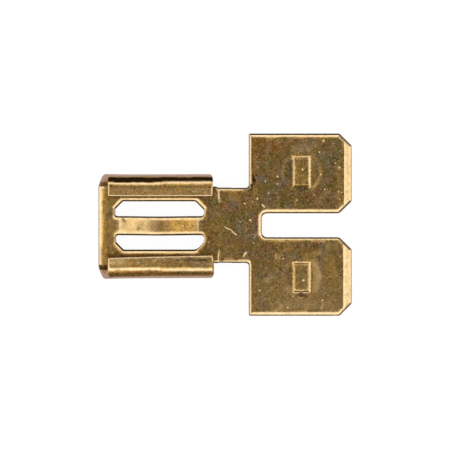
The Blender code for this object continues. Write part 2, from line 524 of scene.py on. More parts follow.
        # Painted highlights: golden on the flat beside the tip end and on the tip side of the dish
        beside = band(along, half_long, half_long + 0.00005, 0.00018) * band(across, -0.0012, 0.0012, 0.0002)
        relief.add_layers(face * beside * outside, golden=0.8)
        dish = face * ramp(np.abs(away - self.dish_radius * 0.9), 0.0003, 0.0) * outside
        relief.add_layers(dish * ramp(along, 0.0004, 0.0012), golden=0.4)
        relief.add_layers(dish * ramp(np.abs(along), 0.0004, 0.0012), coppery=0.25)
        # Grime below and before the detent
        low, high = -half_wide - 0.00034 - 0.00006 * side, -half_wide - 0.00005 + 0.00007 * side
        reach = np.sqrt(np.clip(1 - (across / (half_wide + 0.00045)) ** 2, 0, 1)) * 0.0008
        below = face * band(across, low, high, 0.00007) * ramp(np.abs(along) - reach, 0.00012, -0.00008)
        relief.add_layers(below, dirty=0.7)
        before = band(along, -half_long - 0.00035, -half_long - 0.0001, 0.0001)
        relief.add_layers(face * before * band(across, -0.0006, 0.0007, 0.0004), dirty=0.65)


@dataclass(frozen=True)
class Receptacle:
    """The socket for one tab: floor, bends, walls and curled lips, with two slots in its floor.

    A pair of sizes is for the upper and the lower side. The lips droop a little towards each other.
    """

    centre: float = -0.00013
    skew: float = 0.0036
    splay: float = 0.00006
    floor_half: float = 0.00312
    bend_radius: float = 0.0006
    wall: float = 0.0006
    lip_reach: float = 0.00074
    droop: float = math.radians(5)
    front_setback: float = 0.00083
    front_corner: float = 0.0003
    lip_corner: float = 0.00012
    ends: Pair = (0.00912, 0.0092)
    wall_short: float = 0.00017
    lip_rear_shorts: Pair = (0.0, -0.00006)
    lip_front_shorts: Pair = (0.00001, 0.00008)
    lip_end_shorts: Pair = (0.00004, 0.0001)
    neck_half: float = 0.00299
    neck_centre: float = -0.00006
    neck_length: float = 0.00276
    neck_fillet: float = 0.00024
    steps: Pair = (0.00008, 0.00003)
    step_length: float = 0.00022
    entry_length: float = 0.0004
    entry_depth: float = 0.00006
    slot_centre: float = -0.00008
    slot_fronts: Pair = (0.00136, 0.00142)
    slot_rear: float = 0.00842
    slot_widths: Pair = (0.00117, 0.00114)
    slot_chamfer: float = 0.0006
    slot_rear_chamfers: Pair = (0.0007, 0.00058)
    slot_corner: float = 0.00015
    slot_rear_corner: float = 0.00025
    slot_rear_rounds: Pair = (0.00034, 0.0007)
    bridge_width: float = 0.00152
    bridge_lean: float = 0.00003
    bow_front_land: float = 0.0003
    bow_rear_land: float = 0.00048
    bow_ramp: float = 0.0021
    bow_height: float = 0.00035

    @property
    def bend_arc(self) -> float:
        """The length of a quarter bend along the middle of the sheet."""
        return self.bend_radius * math.pi / 2

    @property
    def wall_top(self) -> float:
        """How far out in the blank the wall ends and the lip's bend begins."""
        return self.floor_half + self.bend_arc + self.wall

    @property
    def lip_root(self) -> float:
        """How far out in the blank the bend's crest is."""
        return self.wall_top + self.bend_arc

    @property
    def lip_edge(self) -> float:
        """How far out in the blank the lips end."""
        return self.lip_root + self.lip_reach

    @property
    def front(self) -> float:
        """Where the mouth is, along the adapter."""
        return -HALF_LENGTH

    @property
    def bow_start(self) -> float:
        """Where the bridge begins to rise."""
        return self.front + self.slot_fronts[0] + self.bow_front_land

    @property
    def bow_end(self) -> float:
        """Where the bridge is down again."""
        return self.front + self.slot_rear - self.bow_rear_land

    def corners(self, side: int, shoulder: float) -> list[Corner]:
        """One side's share of the outline.

        Args:
            side: 1 for the upper side, -1 for the lower.
            shoulder: Where the neck ends, along the adapter.

        Returns:
            The corners, on the upper side from the shoulder to the mouth.
        """
        which = 0 if side > 0 else 1
        neck = self.neck_half + side * self.neck_centre
        offset = side * self.centre
        end = self.front + self.ends[which]
        side_of_step = neck + self.steps[which]
        edge = offset + self.lip_edge
        start = self.front + self.front_setback
        return mirrored([
            Corner(shoulder, neck, self.neck_fillet),
            Corner(end + 2 * self.step_length, neck),
            Corner(end + self.step_length, side_of_step),
            Corner(end - self.wall_short, side_of_step),
            Corner(end - self.wall_short, offset + self.wall_top, self.front_corner),
            Corner(end, offset + self.lip_root - self.bend_arc / 2, self.front_corner),
            Corner(end, offset + self.lip_root, self.front_corner),
            Corner(end - self.lip_end_shorts[which], edge - self.lip_rear_shorts[which], self.lip_corner),
            Corner(start, edge - self.lip_front_shorts[which], self.lip_corner),
            Corner(start, offset + self.wall_top, self.front_corner),
            Corner(self.front, offset + self.floor_half, self.front_corner),
        ], side)

    def slot(self, side: int) -> Loop:
        """The edge of one slot.

        Args:
            side: 1 for the upper slot, -1 for the lower.

        Returns:
            The loop, with the metal on its left.
        """
        which = 0 if side > 0 else 1
        inner = self.bridge_width / 2 + side * self.slot_centre
        outer = inner + self.slot_widths[which]
        start = self.front + self.slot_fronts[which]
        end = self.front + self.slot_rear
        chamfer, rear_chamfer = self.slot_chamfer, self.slot_rear_chamfers[which]
        return Loop(mirrored([
            Corner(start, inner, self.slot_corner),
            Corner(start, outer - chamfer, self.slot_corner),
            Corner(start + chamfer, outer, self.slot_corner),
            Corner(end - rear_chamfer, outer, self.slot_rear_rounds[which]),
            Corner(end, outer - rear_chamfer, self.slot_rear_rounds[which]),
            Corner(end, inner, self.slot_rear_corner),
        ], side))

    def press(self, relief: Relief) -> None:
        """Coins the mouth, and gives the floor, the bridge, the bends and the lips their worn colours,
        painted highlights and painted shade.

        Args:
            relief: The blank.
        """
        inward = relief.x - self.front
        relief.z *= 1 - self.entry_depth * ramp(inward, self.entry_length, 0) / SHEET.thickness
        out = np.abs(relief.y - self.centre)
        floor = relief.face * ramp(out, self.floor_half, self.floor_half - 0.0003)
        relief.add_layers(floor * ramp(inward, 0.001, 0.0005), golden=1)
        relief.add_layers(floor * ramp(inward, 0.0022, 0.0008), golden=0.5)
        # A painted highlight, partly rubbed metal, along the coined slope at the mouth
        relief.add_layers(floor * band(inward, 0.00014, 0.00023, 0.00008), burnished=1)
        self._ease_slot_ends(relief)
        self._paint_bridge_light_and_wear(relief)
        turned = (out - self.wall_top) / self.bend_radius
        turned += 0.008 * np.sin(relief.x / 0.0004) + 0.006 * np.sin(relief.x / 0.00013 + 1)
        upper = (relief.y > 0) * 1.0
        self._paint_curl_light_and_wear(relief, out, turned, upper)
        self._shade_bends(relief, out, turned, upper)

    def _ease_slot_ends(self, relief: Relief) -> None:
        """Flattens the roll-over round the ends of the slots, where the punch left hardly any.

        Args:
            relief: The blank.
        """
        from_middle = relief.y - self.slot_centre
        inner = ramp(np.abs(from_middle), 0.0021, 0.002) * ramp(relief.x, -0.0012, -0.0013)
        inner *= relief.face * ramp(relief.x, self.front + 0.0006, self.front + 0.0008)
        ends = inner * ramp(np.abs(relief.facing[:, 0]), 0.8, 0.95)
        clean = inner * ramp(-relief.facing[:, 0], 0.25, 0.5) * ramp(from_middle, 0.0014, 0.0012)
        top = relief.z > SHEET.breakout_height
        relief.z += (SHEET.thickness - relief.z) * np.maximum(ends * 0.7, clean * 0.85) * top
        relief.clear(ends, burnished=0.7, golden=0.5)
        relief.clear(clean, burnished=1, dirty=1)
        # A painted highlight, partly rubbed metal, along parts of the slots' rear ends
        relief.add_layers(clean * ramp(relief.edge, SHEET.shine_end, SHEET.steep_end), golden=0.8)
        relief.add_layers(clean * ramp(relief.edge, SHEET.steep_end + 0.00004, SHEET.steep_end), burnished=0.8)

    def _paint_bridge_light_and_wear(self, relief: Relief) -> None:
        """Leans the bridge aside, paints highlights, partly rubbed metal, on its ramps and kinks, and a
        browner painted shade on its crown.

        Args:
            relief: The blank.
        """
        x, start, end = relief.x, self.bow_start, self.bow_end
        across = np.abs(relief.y - self.slot_centre)
        on_bridge = (across < self.bridge_width / 2 + 0.00001) * 1.0
        crown = (start + end) / 2
        relief.y -= self.bridge_lean * on_bridge * ramp(np.abs(x - crown), (end - start) / 2, 0.0)
        slot_start, slot_end = self.front + self.slot_fronts[0], self.front + self.slot_rear
        bridge = ramp(x, slot_start - 0.0001, slot_start) * ramp(x, slot_end, slot_end - 0.0003)
        bridge *= relief.face * on_bridge
        # Painted highlights, partly rubbed metal, at the kinks and on the ramps; the crown is left browner,
        # as painted shade
        kinks = 1.3 * band(x, start + 0.00002, start + 0.0001, 0.00004)
        kinks += band(x, end - 0.00006, end + 0.00003, 0.00004)
        relief.add_layers(bridge * kinks, burnished=0.8)
        front = ramp(x, start - 0.0003, start) * ramp(x, crown + 0.0003, crown - 0.0009)
        rear = ramp(x, crown + 0.0003, crown + 0.0013) * ramp(x, end, end - 0.0005)
        relief.add_layers(bridge * (0.48 + 0.52 * np.maximum(front, rear * 0.6)), golden=1)
        relief.add_layers(bridge * ramp(np.maximum(front, rear), 1.0, 0.4), coppery=0.2, amber=0.4)
        relief.add_layers(bridge * front, burnished=0.42)

    def _paint_curl_light_and_wear(self, relief: Relief, out: Array, turned: Array, upper: Array) -> None:
        """Gives the outside of the curls its coppery skin, painted highlights, partly rubbed metal, along the
        crests and the lips' edges, and bands of painted shade where the curls turn away from the light.

        Args:
            relief: The blank.
            out: Each point's distance from the receptacle's centreline in the blank.
            turned: How far round the upper bend each point is, in radians.
            upper: 1 on the upper side, 0 on the lower.
        """
        x, angle = relief.x, math.radians
        endways = relief.facing[:, 0]
        skin = (1 - relief.face) * self._folded(relief)
        skin *= ramp(out, self.floor_half, self.floor_half + 0.0003)
        lower = skin * (1 - upper)
        early = 0.06 * (1 - upper) * ramp(x, -0.0055, -0.0075)
        relief.add_layers(skin * ramp(turned + early, angle(42), angle(36)), coppery=1)
        # Painted highlights, partly rubbed metal, along the crests
        self._paint_crest_highlight_and_rub(relief, skin * upper, turned, 65.5)
        self._paint_crest_highlight_and_rub(relief, lower, turned - 0.035, 65.0)
        # Painted shade: a dark band along the upper curl's outside, where it faces away from the light
        dark = band(turned, angle(43), angle(62) + 0.12 * ramp(x, -0.004, -0.006), 0.025)
        relief.add_layers(skin * dark * upper, dirty=1.4)
        # Painted shade on the lower curl: an amber band, darkest towards the wall, where it turns away from
        # the light
        relief.add_layers(lower * band(turned + early, angle(39), angle(70), 0.06), amber=1)
        dark = band(turned + early, angle(39), angle(52), 0.09)
        relief.add_layers(lower * dark * (0.5 + 3 * early), dirty=1)
        relief.add_layers(skin * ramp(turned, angle(78), angle(84)), golden=0.38)
        # A painted highlight, partly rubbed metal, along the rounded edge of each lip, weaker across the ends
        # and at the lower lip's rear
        burr = ramp(relief.edge, 0.00012, 0.00009) * ramp(turned, angle(60), angle(70))
        burr *= skin * ramp(relief.z, 0.00006, 0.00003)
        relief.clear(burr, dirty=1)
        rearward = ramp(endways, 0.5, 0.9) * ramp(out, self.lip_edge - 0.0004, self.lip_edge - 0.0006)
        rearward *= 1 - upper
        relief.add_layers(burr * (0.95 - (0.4 * ramp(np.abs(endways), 0.5, 0.9) + 0.5 * rearward)), burnished=1)
        end = skin * (ramp(relief.edge, 0.00013, 0.0001) * rearward * ramp(turned, 0.9, 1.1))
        relief.add_layers(end, amber=1, dirty=0.6)

    def _shade_bends(self, relief: Relief, out: Array, turned: Array, upper: Array) -> None:
        """Paints shade, with some grime, into the inside of the bends, between the lips and the floor, down
        to their cut ends, whose own colour is amber.

        Args:
            relief: The blank.
            out: Each point's distance from the receptacle's centreline in the blank.
            turned: How far round the upper bend each point is, in radians.
            upper: 1 on the upper side, 0 on the lower.
        """
        x, lower = relief.x, 1 - upper
        # Painted shade and grime: an amber and dark strip on the floor under each lip
        shaded = relief.face * band(x, self.front + self.front_setback, self.front + self.ends[0], 0.0002)
        reach = out - 0.00003 - 0.000035 * upper
        beyond = shaded * ramp(reach, 0.00212, 0.00216)
        relief.clear(beyond, golden=1, burnished=1)
        relief.add_layers(beyond, amber=1)
        beyond = shaded * ramp(reach, 0.00214, 0.00226 + 0.0001 * lower)
        relief.add_layers(beyond * (0.65 - 0.1 * upper), dirty=1)
        # Painted shade inside the first bend, darker near the mouth on the lower side
        at_mouth = ramp(x, self.front + 0.0012, self.front + 0.0009)
        begin = self.floor_half - 0.00012 * at_mouth * lower
        inner = relief.face * self._folded(relief) * ramp(out, begin - 0.00004, begin + 0.00004)
        relief.add_layers(inner, amber=1)
        inner *= ramp(out, begin + 0.0001 * (1 - at_mouth), begin + 0.00006 + 0.00014 * (1 - at_mouth))
        relief.clear(inner * at_mouth, golden=1, burnished=1)
        relief.add_layers(inner * (0.6 + at_mouth * (0.25 - 0.25 * upper)), dirty=1)
        # The cut ends of the walls at the mouth: amber, with painted shade deepening towards the inside of
        # the bend
        cut = ramp(relief.edge, SHEET.steep_end, SHEET.steep_end - 0.00003) * at_mouth
        cut *= ramp(out, self.floor_half, self.floor_half + 0.0001) * ramp(turned, 0.9, 0.7)
        bent = np.clip((out - self.floor_half) / self.bend_radius, 0, math.pi / 2)
        reach = (self.bend_radius + SHEET.thickness / 2 - relief.z) * np.sin(bent)
        inner = ramp(reach, 0.00033 + 0.0001 * upper, 0.00023 + 0.0001 * upper)
        relief.clear(cut, dirty=1)
        relief.add_layers(cut * (0.1 + inner * (0.85 - 0.25 * upper)), dirty=1)
        relief.add_layers(cut, amber=1)
        relief.add_layers(cut * (1 - inner), coppery=0.2)

    def _folded(self, relief: Relief) -> Array:
        """1 along the receptacle, 0 along the neck and the tabs, at each point."""
        end = self.front + self.ends[1]
        return ramp(relief.x, end + 0.0001, end)

    def _paint_crest_highlight_and_rub(self, relief: Relief, skin: Array, turned: Array, start: float) -> None:
        """Paints a highlight, partly rubbed metal, along the crest of one curl, in a line that is narrower
        near the mouth.

        Args:
            relief: The blank.
            skin: The outside of the curl.
            turned: How far round the curl each point is, in radians.
            start: How far round the line begins at the rear, in degrees.
        """
        narrow = ramp(relief.x, -0.0045, -0.0055)
        low = math.radians(start) + math.radians(70 - start) * narrow
        high = math.radians(75) + math.radians(2.5) * narrow
        relief.add_layers(skin * band(turned, low, high, 0.025), burnished=1)
        relief.add_layers(skin * band(turned, low - 0.02, high + 0.02, 0.04), golden=1)


# Places and reaches on the blank below are in hundredths of a millimetre
PER_METRE = 100_000

# Scratches: half the width, the depth in metres, 1 for bare metal or 0 for dirt, and the path, as x
# and y in turn
GROOVES = (
    (3, 0.00001, 1.0, -2, -19, 25, -35, 48, -38, 67, -65, 94, -81), (6, 0.00003, 1.0, 145, -255, 168, -220),
    (6, 0.000003, 0.0, 398, -319, 478, -383), (5, 0.00001, 0.6, 410, -270, 400, -230),
    (5, 0.00001, 0.5, 230, -105, 250, -70), (5, 0.00001, 0.6, 760, -668, 780, -630),
    (7, 0.00002, 0.8, 782, 660, 784, 680), (6, 0.00002, 0.9, 293, 160, 318, 136),
)

# Bright nicks: middle and radius
NICKS = (
    (623, -443, 13), (202, 35, 12), (909, 454, 10), (155, 168, 9), (615, 438, 10), (321, 342, 9),
    (258, 206, 10), (417, 382, 10), (901, 263, 7), (218, 184, 7), (774, -602, 8), (274, -523, 8),
    (758, 398, 8), (925, 255, 6), (345, 247, 7), (226, -150, 6), (460, -270, 8), (573, 195, 7),
    (671, 469, 8), (545, -532, 8),
)

# Stains on the side that is seen, by layer: strength, how far from its path a stain reaches, and
# the path, as x and y in turn. The golden and the bright stain at x -9.75 mm, y 2.9 mm, at the foot
# of the upper bend by the mouth, are painted highlights
STAINS = {
    FinishLayer.DIRT_AND_SHADE: (
        (1.2, 16, 222, 395, 232, 360), (1.3, 26, 230, 360, 236, 330), (1.2, 22, 220, 320, 210, 310),
        (0.7, 30, 180, 292, 210, 280), (0.4, 50, 240, 370, 270, 350), (0.6, 40, 160, 280, 200, 260),
        (0.8, 20, -92, 290, -80, 280), (0.8, 18, -30, -283, -20, -280), (0.6, 13, 970, 260, 971, 260),
        (0.2, 60, -110, 80, -80, 80), (0.6, 40, -840, -240, -780, -260), (0.4, 30, -980, -190, -970, -300),
        (0.5, 30, 80, -270, 180, -270), (0.5, 40, -450, -610, -110, -610), (0.8, 30, -380, -615, -110, -615),
        (0.85, 15, -810, 44, -795, 24), (0.7, 20, -690, -30, -685, -30),
    ),
    FinishLayer.GREY: (
        (1.0, 50, 260, 370, 310, 360), (0.8, 70, 790, 550, 830, 470), (0.5, 60, 680, 670, 740, 640),
        (0.7, 40, 70, 170, 110, 160), (0.9, 50, -920, -40, -890, 60), (0.6, 60, 830, -160, 880, -160),
        (0.6, 60, 840, 550, 880, 540), (0.4, 360, 340, -540, 910, -520), (0.9, 40, -220, 580, -120, 580),
    ),
    FinishLayer.AMBER: (
        (1.0, 34, -92, 290, -80, 275), (1.0, 110, 240, 660, 400, 610), (0.8, 70, 240, 640, 290, 530),
        (0.5, 50, -10, 250, 110, 240), (0.8, 30, 210, 680, 210, 410), (0.6, 22, 210, -400, 210, -680),
        (0.9, 40, -930, -210, -890, -260), (0.5, 140, -160, 80, -110, -120), (0.9, 40, -870, 570, -730, 580),
        (0.6, 30, -620, 600, -420, 600), (1.0, 20, -802, 26, -800, 25), (1.0, 22, -690, -30, -685, -30),
    ),
    FinishLayer.COPPERY: (
        (0.35, 30, 360, 640, 330, 580), (0.4, 50, 550, 600, 660, 600), (0.3, 40, 45, 210, 80, 200),
        (0.4, 40, -870, 570, -730, 580), (0.25, 40, -620, 580, -400, 580), (0.55, 15, -850, -630, -300, -630),
    ),
    FinishLayer.GOLDEN: (
        (0.3, 50, 550, 600, 660, 600), (0.5, 120, 830, -300, 850, -580), (0.55, 60, 45, 225, 95, 220),
        # The first of these is a painted highlight at the foot of the upper bend
        (1.0, 30, -975, 290, -900, 280), (0.45, 90, 450, -640, 840, -640), (0.45, 60, 640, -240, 740, -240),
        (0.5, 70, 660, -560, 740, -560), (0.3, 60, 830, -160, 880, -160), (0.4, 50, 40, -160, 80, -160),
        (0.8, 90, -920, 20, -910, -140), (0.9, 50, -930, 300, -890, 260), (0.36, 360, 340, -540, 910, -520),
        (1.0, 65, 700, -300, 735, -410, 710, -510), (0.22, 130, -30, 10, -10, -200),
        (0.9, 80, -910, -590, -760, -590), (0.7, 30, -760, -570, -460, -570),
    ),
    FinishLayer.BURNISH_AND_HIGHLIGHT: (
        # The first of these is a painted highlight at the foot of the upper bend
        (0.65, 18, -975, 290, -880, 282), (0.13, 90, 450, -640, 840, -640), (0.4, 60, -920, -610, -820, -610),
        (0.3, 50, 710, -310, 735, -410, 720, -500), (0.9, 7, 545, -541, 580, -537, 610, -543, 650, -539),
    ),
}


def path_of(numbers: list[int]) -> Path:
    """The places that a path runs through, in metres."""
    metres = [number / PER_METRE for number in numbers]
    return tuple(zip(metres[::2], metres[1::2]))


@dataclass(frozen=True)
class Marks:
    """What handling and the press have left on this adapter, in places of its own."""

    wave_count: int = 14
    wave_height: float = 0.0000035
    wave_seed: int = 11
    # The waves' lengths, and the one at which a wave has its plain height
    wave_lengths: Pair = (0.0008, 0.0026)
    wave_length: float = 0.0016
    witness_line: float = -0.00048
    witness_half: float = 0.0027
    witness_depth: float = 0.000025
    pit: Pair = (0.00603, -0.00556)
    pit_radius: float = 0.00036
    pit_depth: float = 0.00008
    # How deep a nick is and where its bright part ends, for its radius, and how soon marks are full
    nick_slope: float = 0.2
    nick_core: float = 0.75
    fullness: float = 1.8
    scuff_count: int = 150
    scuff_seed: int = 4
    scuff_along: Pair = (-0.0092, -0.0011)
    scuff_across: Pair = (0.00574, 0.0064)
    scuff_length: Pair = (0.00008, 0.0004)
    scuff_slope: Pair = (-0.3, 0.3)
    scuff_width: Pair = (0.00006, 0.00011)
    # The spots on the tips: how many, and how far from the end and from the middle they lie
    tip_spots: int = 90
    tip_inset: Pair = (0.00008, 0.00055)
    tip_across: Pair = (0.0014, 0.0068)
    tip_radius: Pair = (0.00006, 0.00016)
    tip_dirt: Pair = (0.1, 0.35)

    def details(self) -> list[Array]:
        """What keeps the marks sharp in the mesh.

        Returns:
            Points along the scratches and the witness line and in the nicks.
        """
        bits = []
        for half_width, _, _, *numbers in GROOVES:
            path, width = path_of(numbers), half_width / PER_METRE
            for (ax, ay), (bx, by) in zip(path, path[1:]):
                length = math.hypot(bx - ax, by - ay)
                count = max(2, round(length / SCRATCH_PITCH))
                share = (np.arange(count) + 0.5) / count
                for aside in (-width, -width / 2, 0.0, width / 2, width):
                    x = ax + (bx - ax) * share - (by - ay) / length * aside
                    y = ay + (by - ay) * share + (bx - ax) / length * aside
                    bits.append(np.stack((x, y), 1))
        for nick in NICKS:
            x, y, radius = (number / PER_METRE for number in nick)
            bits.append(np.array([(x, y)]))
            for reach, count in ((radius * 0.35, 6), (radius * self.nick_core, 8)):
                turn = np.arange(count) * 2 * math.pi / count
                bits.append(np.stack((x + reach * np.cos(turn), y + reach * np.sin(turn)), 1))
        for across in (-0.00009, -0.00004, 0.0, 0.00004, 0.00009):
            y = np.arange(-self.witness_half, self.witness_half, DETAIL_PITCH)
            bits.append(np.stack((np.full(len(y), self.witness_line + across), y), 1))
        return bits

    def press(self, relief: Relief) -> None:
        """Adds the sheet's waves, the folding tool's witness line, scratches, a pit, nicks and stains.

        Args:
            relief: The blank.
        """
        seen = relief.seen
        relief.z += relief.face * self._waves(relief.x, relief.y) * ramp(relief.edge, 0.0, 0.0006)
        self._witness_line(relief)
        for half_width, depth, shine, *numbers in GROOVES:
            line = seen * relief.along(path_of(numbers), half_width / PER_METRE)
            relief.sink(line * depth)
            relief.add_layers(np.minimum(line * self.fullness, 1), burnished=shine, dirty=1 - shine)
        spot = relief.face * relief.near(*self.pit, self.pit_radius)
        relief.z -= spot * self.pit_depth
        relief.add_layers(np.minimum(spot * 1.6, 1.0), dirty=1)
        for nick in NICKS:
            x, y, radius = (number / PER_METRE for number in nick)
            spot = seen * relief.near(x, y, radius * self.nick_core)
            relief.sink(spot * radius * self.nick_slope)
            relief.add_layers(np.minimum(spot * self.fullness, 1.0), burnished=1)
        for layer, stains in STAINS.items():
            for strength, reach, *numbers in stains:
                stain = seen * relief.along(path_of(numbers), reach / PER_METRE)
                relief.add_layers(stain, **{layer.value: strength})
        self._scuff_lips(relief)
        self._spot_tips(relief)

    def _scuff_lips(self, relief: Relief) -> None:
        """Spots the lips with small scuffs, bright, coppery and dark, most of them on the lower lip.

        Args:
            relief: The blank.
        """
        chance = np.random.default_rng(self.scuff_seed)
        choices = (("burnished", 0.6), ("coppery", 0.6), ("dirty", 0.6), ("dirty", 0.45))
        for place in range(self.scuff_count):
            side = 1 if place % 3 == 0 else -1
            x = chance.uniform(*self.scuff_along)
            y = side * chance.uniform(*self.scuff_across)
            length = chance.uniform(*self.scuff_length)
            slope = chance.uniform(*self.scuff_slope)
            layer, most = choices[chance.integers(len(choices))]
            width = chance.uniform(*self.scuff_width)
            scuff = relief.seen * relief.along(((x, y), (x + length, y + slope * length)), width)
            relief.add_layers(scuff * most * (0.75 - 0.25 * side), **{layer: 1})

    def _spot_tips(self, relief: Relief) -> None:
        """Spots the bevels of the tips with tarnish.

        Args:
            relief: The blank.
        """
        chance = np.random.default_rng(self.scuff_seed)
        for place in range(self.tip_spots):
            x = HALF_LENGTH - chance.uniform(*self.tip_inset)
            y = (1 - 2 * (place % 2)) * chance.uniform(*self.tip_across)
            spot = relief.face * relief.near(x, y, chance.uniform(*self.tip_radius))
            relief.add_layers(spot, dirty=chance.uniform(*self.tip_dirt))

    def _waves(self, x: Array, y: Array) -> Array:
        """The sheet's waves.

        Args:
            x: Places along the blank.
            y: Places across it.

        Returns:
            The height at each place.
        """
        chance = np.random.default_rng(self.wave_seed)
        height = np.zeros(len(x))
        for _ in range(self.wave_count):
            heading = chance.uniform(0, math.pi)
            length = chance.uniform(*self.wave_lengths)
            phase = chance.uniform(0, 2 * math.pi)
            turns = (x * math.cos(heading) + y * math.sin(heading)) / length
            height += np.sin(2 * math.pi * turns + phase) * length / self.wave_length
        return height * self.wave_height

    def _witness_line(self, relief: Relief) -> None:
        """Presses the line that the folding tool left across the neck, deepest near the edges, and paints it
        bright: partly rubbed by the tool, partly a painted highlight.

        Args:
            relief: The blank.
        """
        line = ramp(np.abs(relief.x - self.witness_line), 0.00009, 0.0)
        deep = 0.12 + 0.88 * ramp(np.abs(relief.y + 0.0001), 0.0017, 0.0023)
        neck = relief.face * ramp(np.abs(relief.y), 0.0031, 0.003)
        relief.z -= line * deep * neck * self.witness_depth
        # Bright along the line: partly rubbed metal, partly a painted highlight
        relief.add_layers(np.minimum(line * 1.5, 1) * neck * np.maximum(deep - 0.08, 0), burnished=1)


def within(points: Array, loop: Array) -> Array:
    """Which points lie inside a closed loop.

    Args:
        points: The points, one row each.
        loop: The loop's points, one row each.

    Returns:
        True or False for each point.
    """
    inside = np.zeros(len(points), bool)
    x, y = points[:, 0], points[:, 1]
    for (ax, ay), (bx, by) in zip(loop, np.roll(loop, -1, 0)):
        if ay == by:
            continue
        crosses = (ay > y) != (by > y)
        inside ^= crosses & (x < (bx - ax) * (y - ay) / (by - ay) + ax)
    return inside


def nearest(points: Array, others: Array) -> tuple[Array, Array]:
    """The nearest of the others to each point.

    Args:
        points: The points, one row each.
        others: The others, one row each.

    Returns:
        The nearest one's number and its distance, for each point.
    """
    tree = kdtree.KDTree(len(others))
    for index, (x, y) in enumerate(others):
        tree.insert((x, y, 0.0), index)
    tree.balance()
    found = [tree.find((x, y, 0.0)) for x, y in points]
    return np.array([index for _, index, _ in found], int), np.array([away for _, _, away in found])


def clear_of(points: Array, others: list[Array], distance: float) -> Array:
    """Those of the points that are further than this distance from all the others."""
    _, away = nearest(points, np.concatenate(others))
    return points[away > distance]


def on_metal(points: Array, rims: list[Array]) -> Array:
    """The points that lie on the metal.

    Args:
        points: The points, one row each.
        rims: The outer rim and then the holes, one array of points each.

    Returns:
        Those of the points that stay.
    """
    points = points[within(points, rims[0])]
    for hole in rims[1:]:
        points = points[~within(points, hole)]
    return points


def scattered(rims: list[Array], others: list[Array], along: float, across: float) -> Array:
    """Staggered rows of points over the metal, clear of its rims and of other points.

    Args:
        rims: The outer rim and then the holes, one array of points each.
        others: Points that the mesh has anyway, in the same form.
        along: The distance between the points of a row.
        across: The distance between rows.

    Returns:
        The points, one row each.
    """
    low, high = rims[0].min(0), rims[0].max(0)
    x, y = np.meshgrid(np.arange(low[0] - along, high[0], along), np.arange(low[1], high[1], across))
    x[1::2] += along / 2
    points = on_metal(np.stack((x.ravel(), y.ravel()), 1), rims)
    return clear_of(points, rims + others, min(along, across) * 0.6)


def triangles_between(rims: list[Array], creases: list[Array], free: Array) -> Array:
    """Triangles that fill the metal between its rims.

    Args:
        rims: The outer rim and then the holes, one array of points each.
        creases: Closed lines in the metal that the triangles keep to.
        free: Other points in the metal, one row each.

    Returns:
        Three numbers for each triangle, which count the points of rims, creases and free in order.
    """
    lines = rims + creases
    starts = np.cumsum([0] + [len(line) for line in lines])
    edges = [
        (int(start + place), int(start + (place + 1) % len(line)))
        for start, line in zip(starts, lines)
        for place in range(len(line))
    ]
    places = np.concatenate(lines + [free]) * FILL_SCALE
    made = delaunay_2d_cdt([Vector(place) for place in places], edges, [], 1, FILL_TOLERANCE)
    source = np.array([ids[0] for ids in made[3]])
    faces = source[np.array(made[2])]
    a, b, c = (places[faces[:, corner]] for corner in range(3))
    turn = (b[:, 0] - a[:, 0]) * (c[:, 1] - a[:, 1]) - (b[:, 1] - a[:, 1]) * (c[:, 0] - a[:, 0])
    faces[turn < 0] = faces[turn < 0][:, ::-1]
    for start, end in zip(starts[1:len(rims)], starts[2:len(rims) + 1]):
        faces = faces[~((faces >= start) & (faces < end)).all(1)]
    return faces


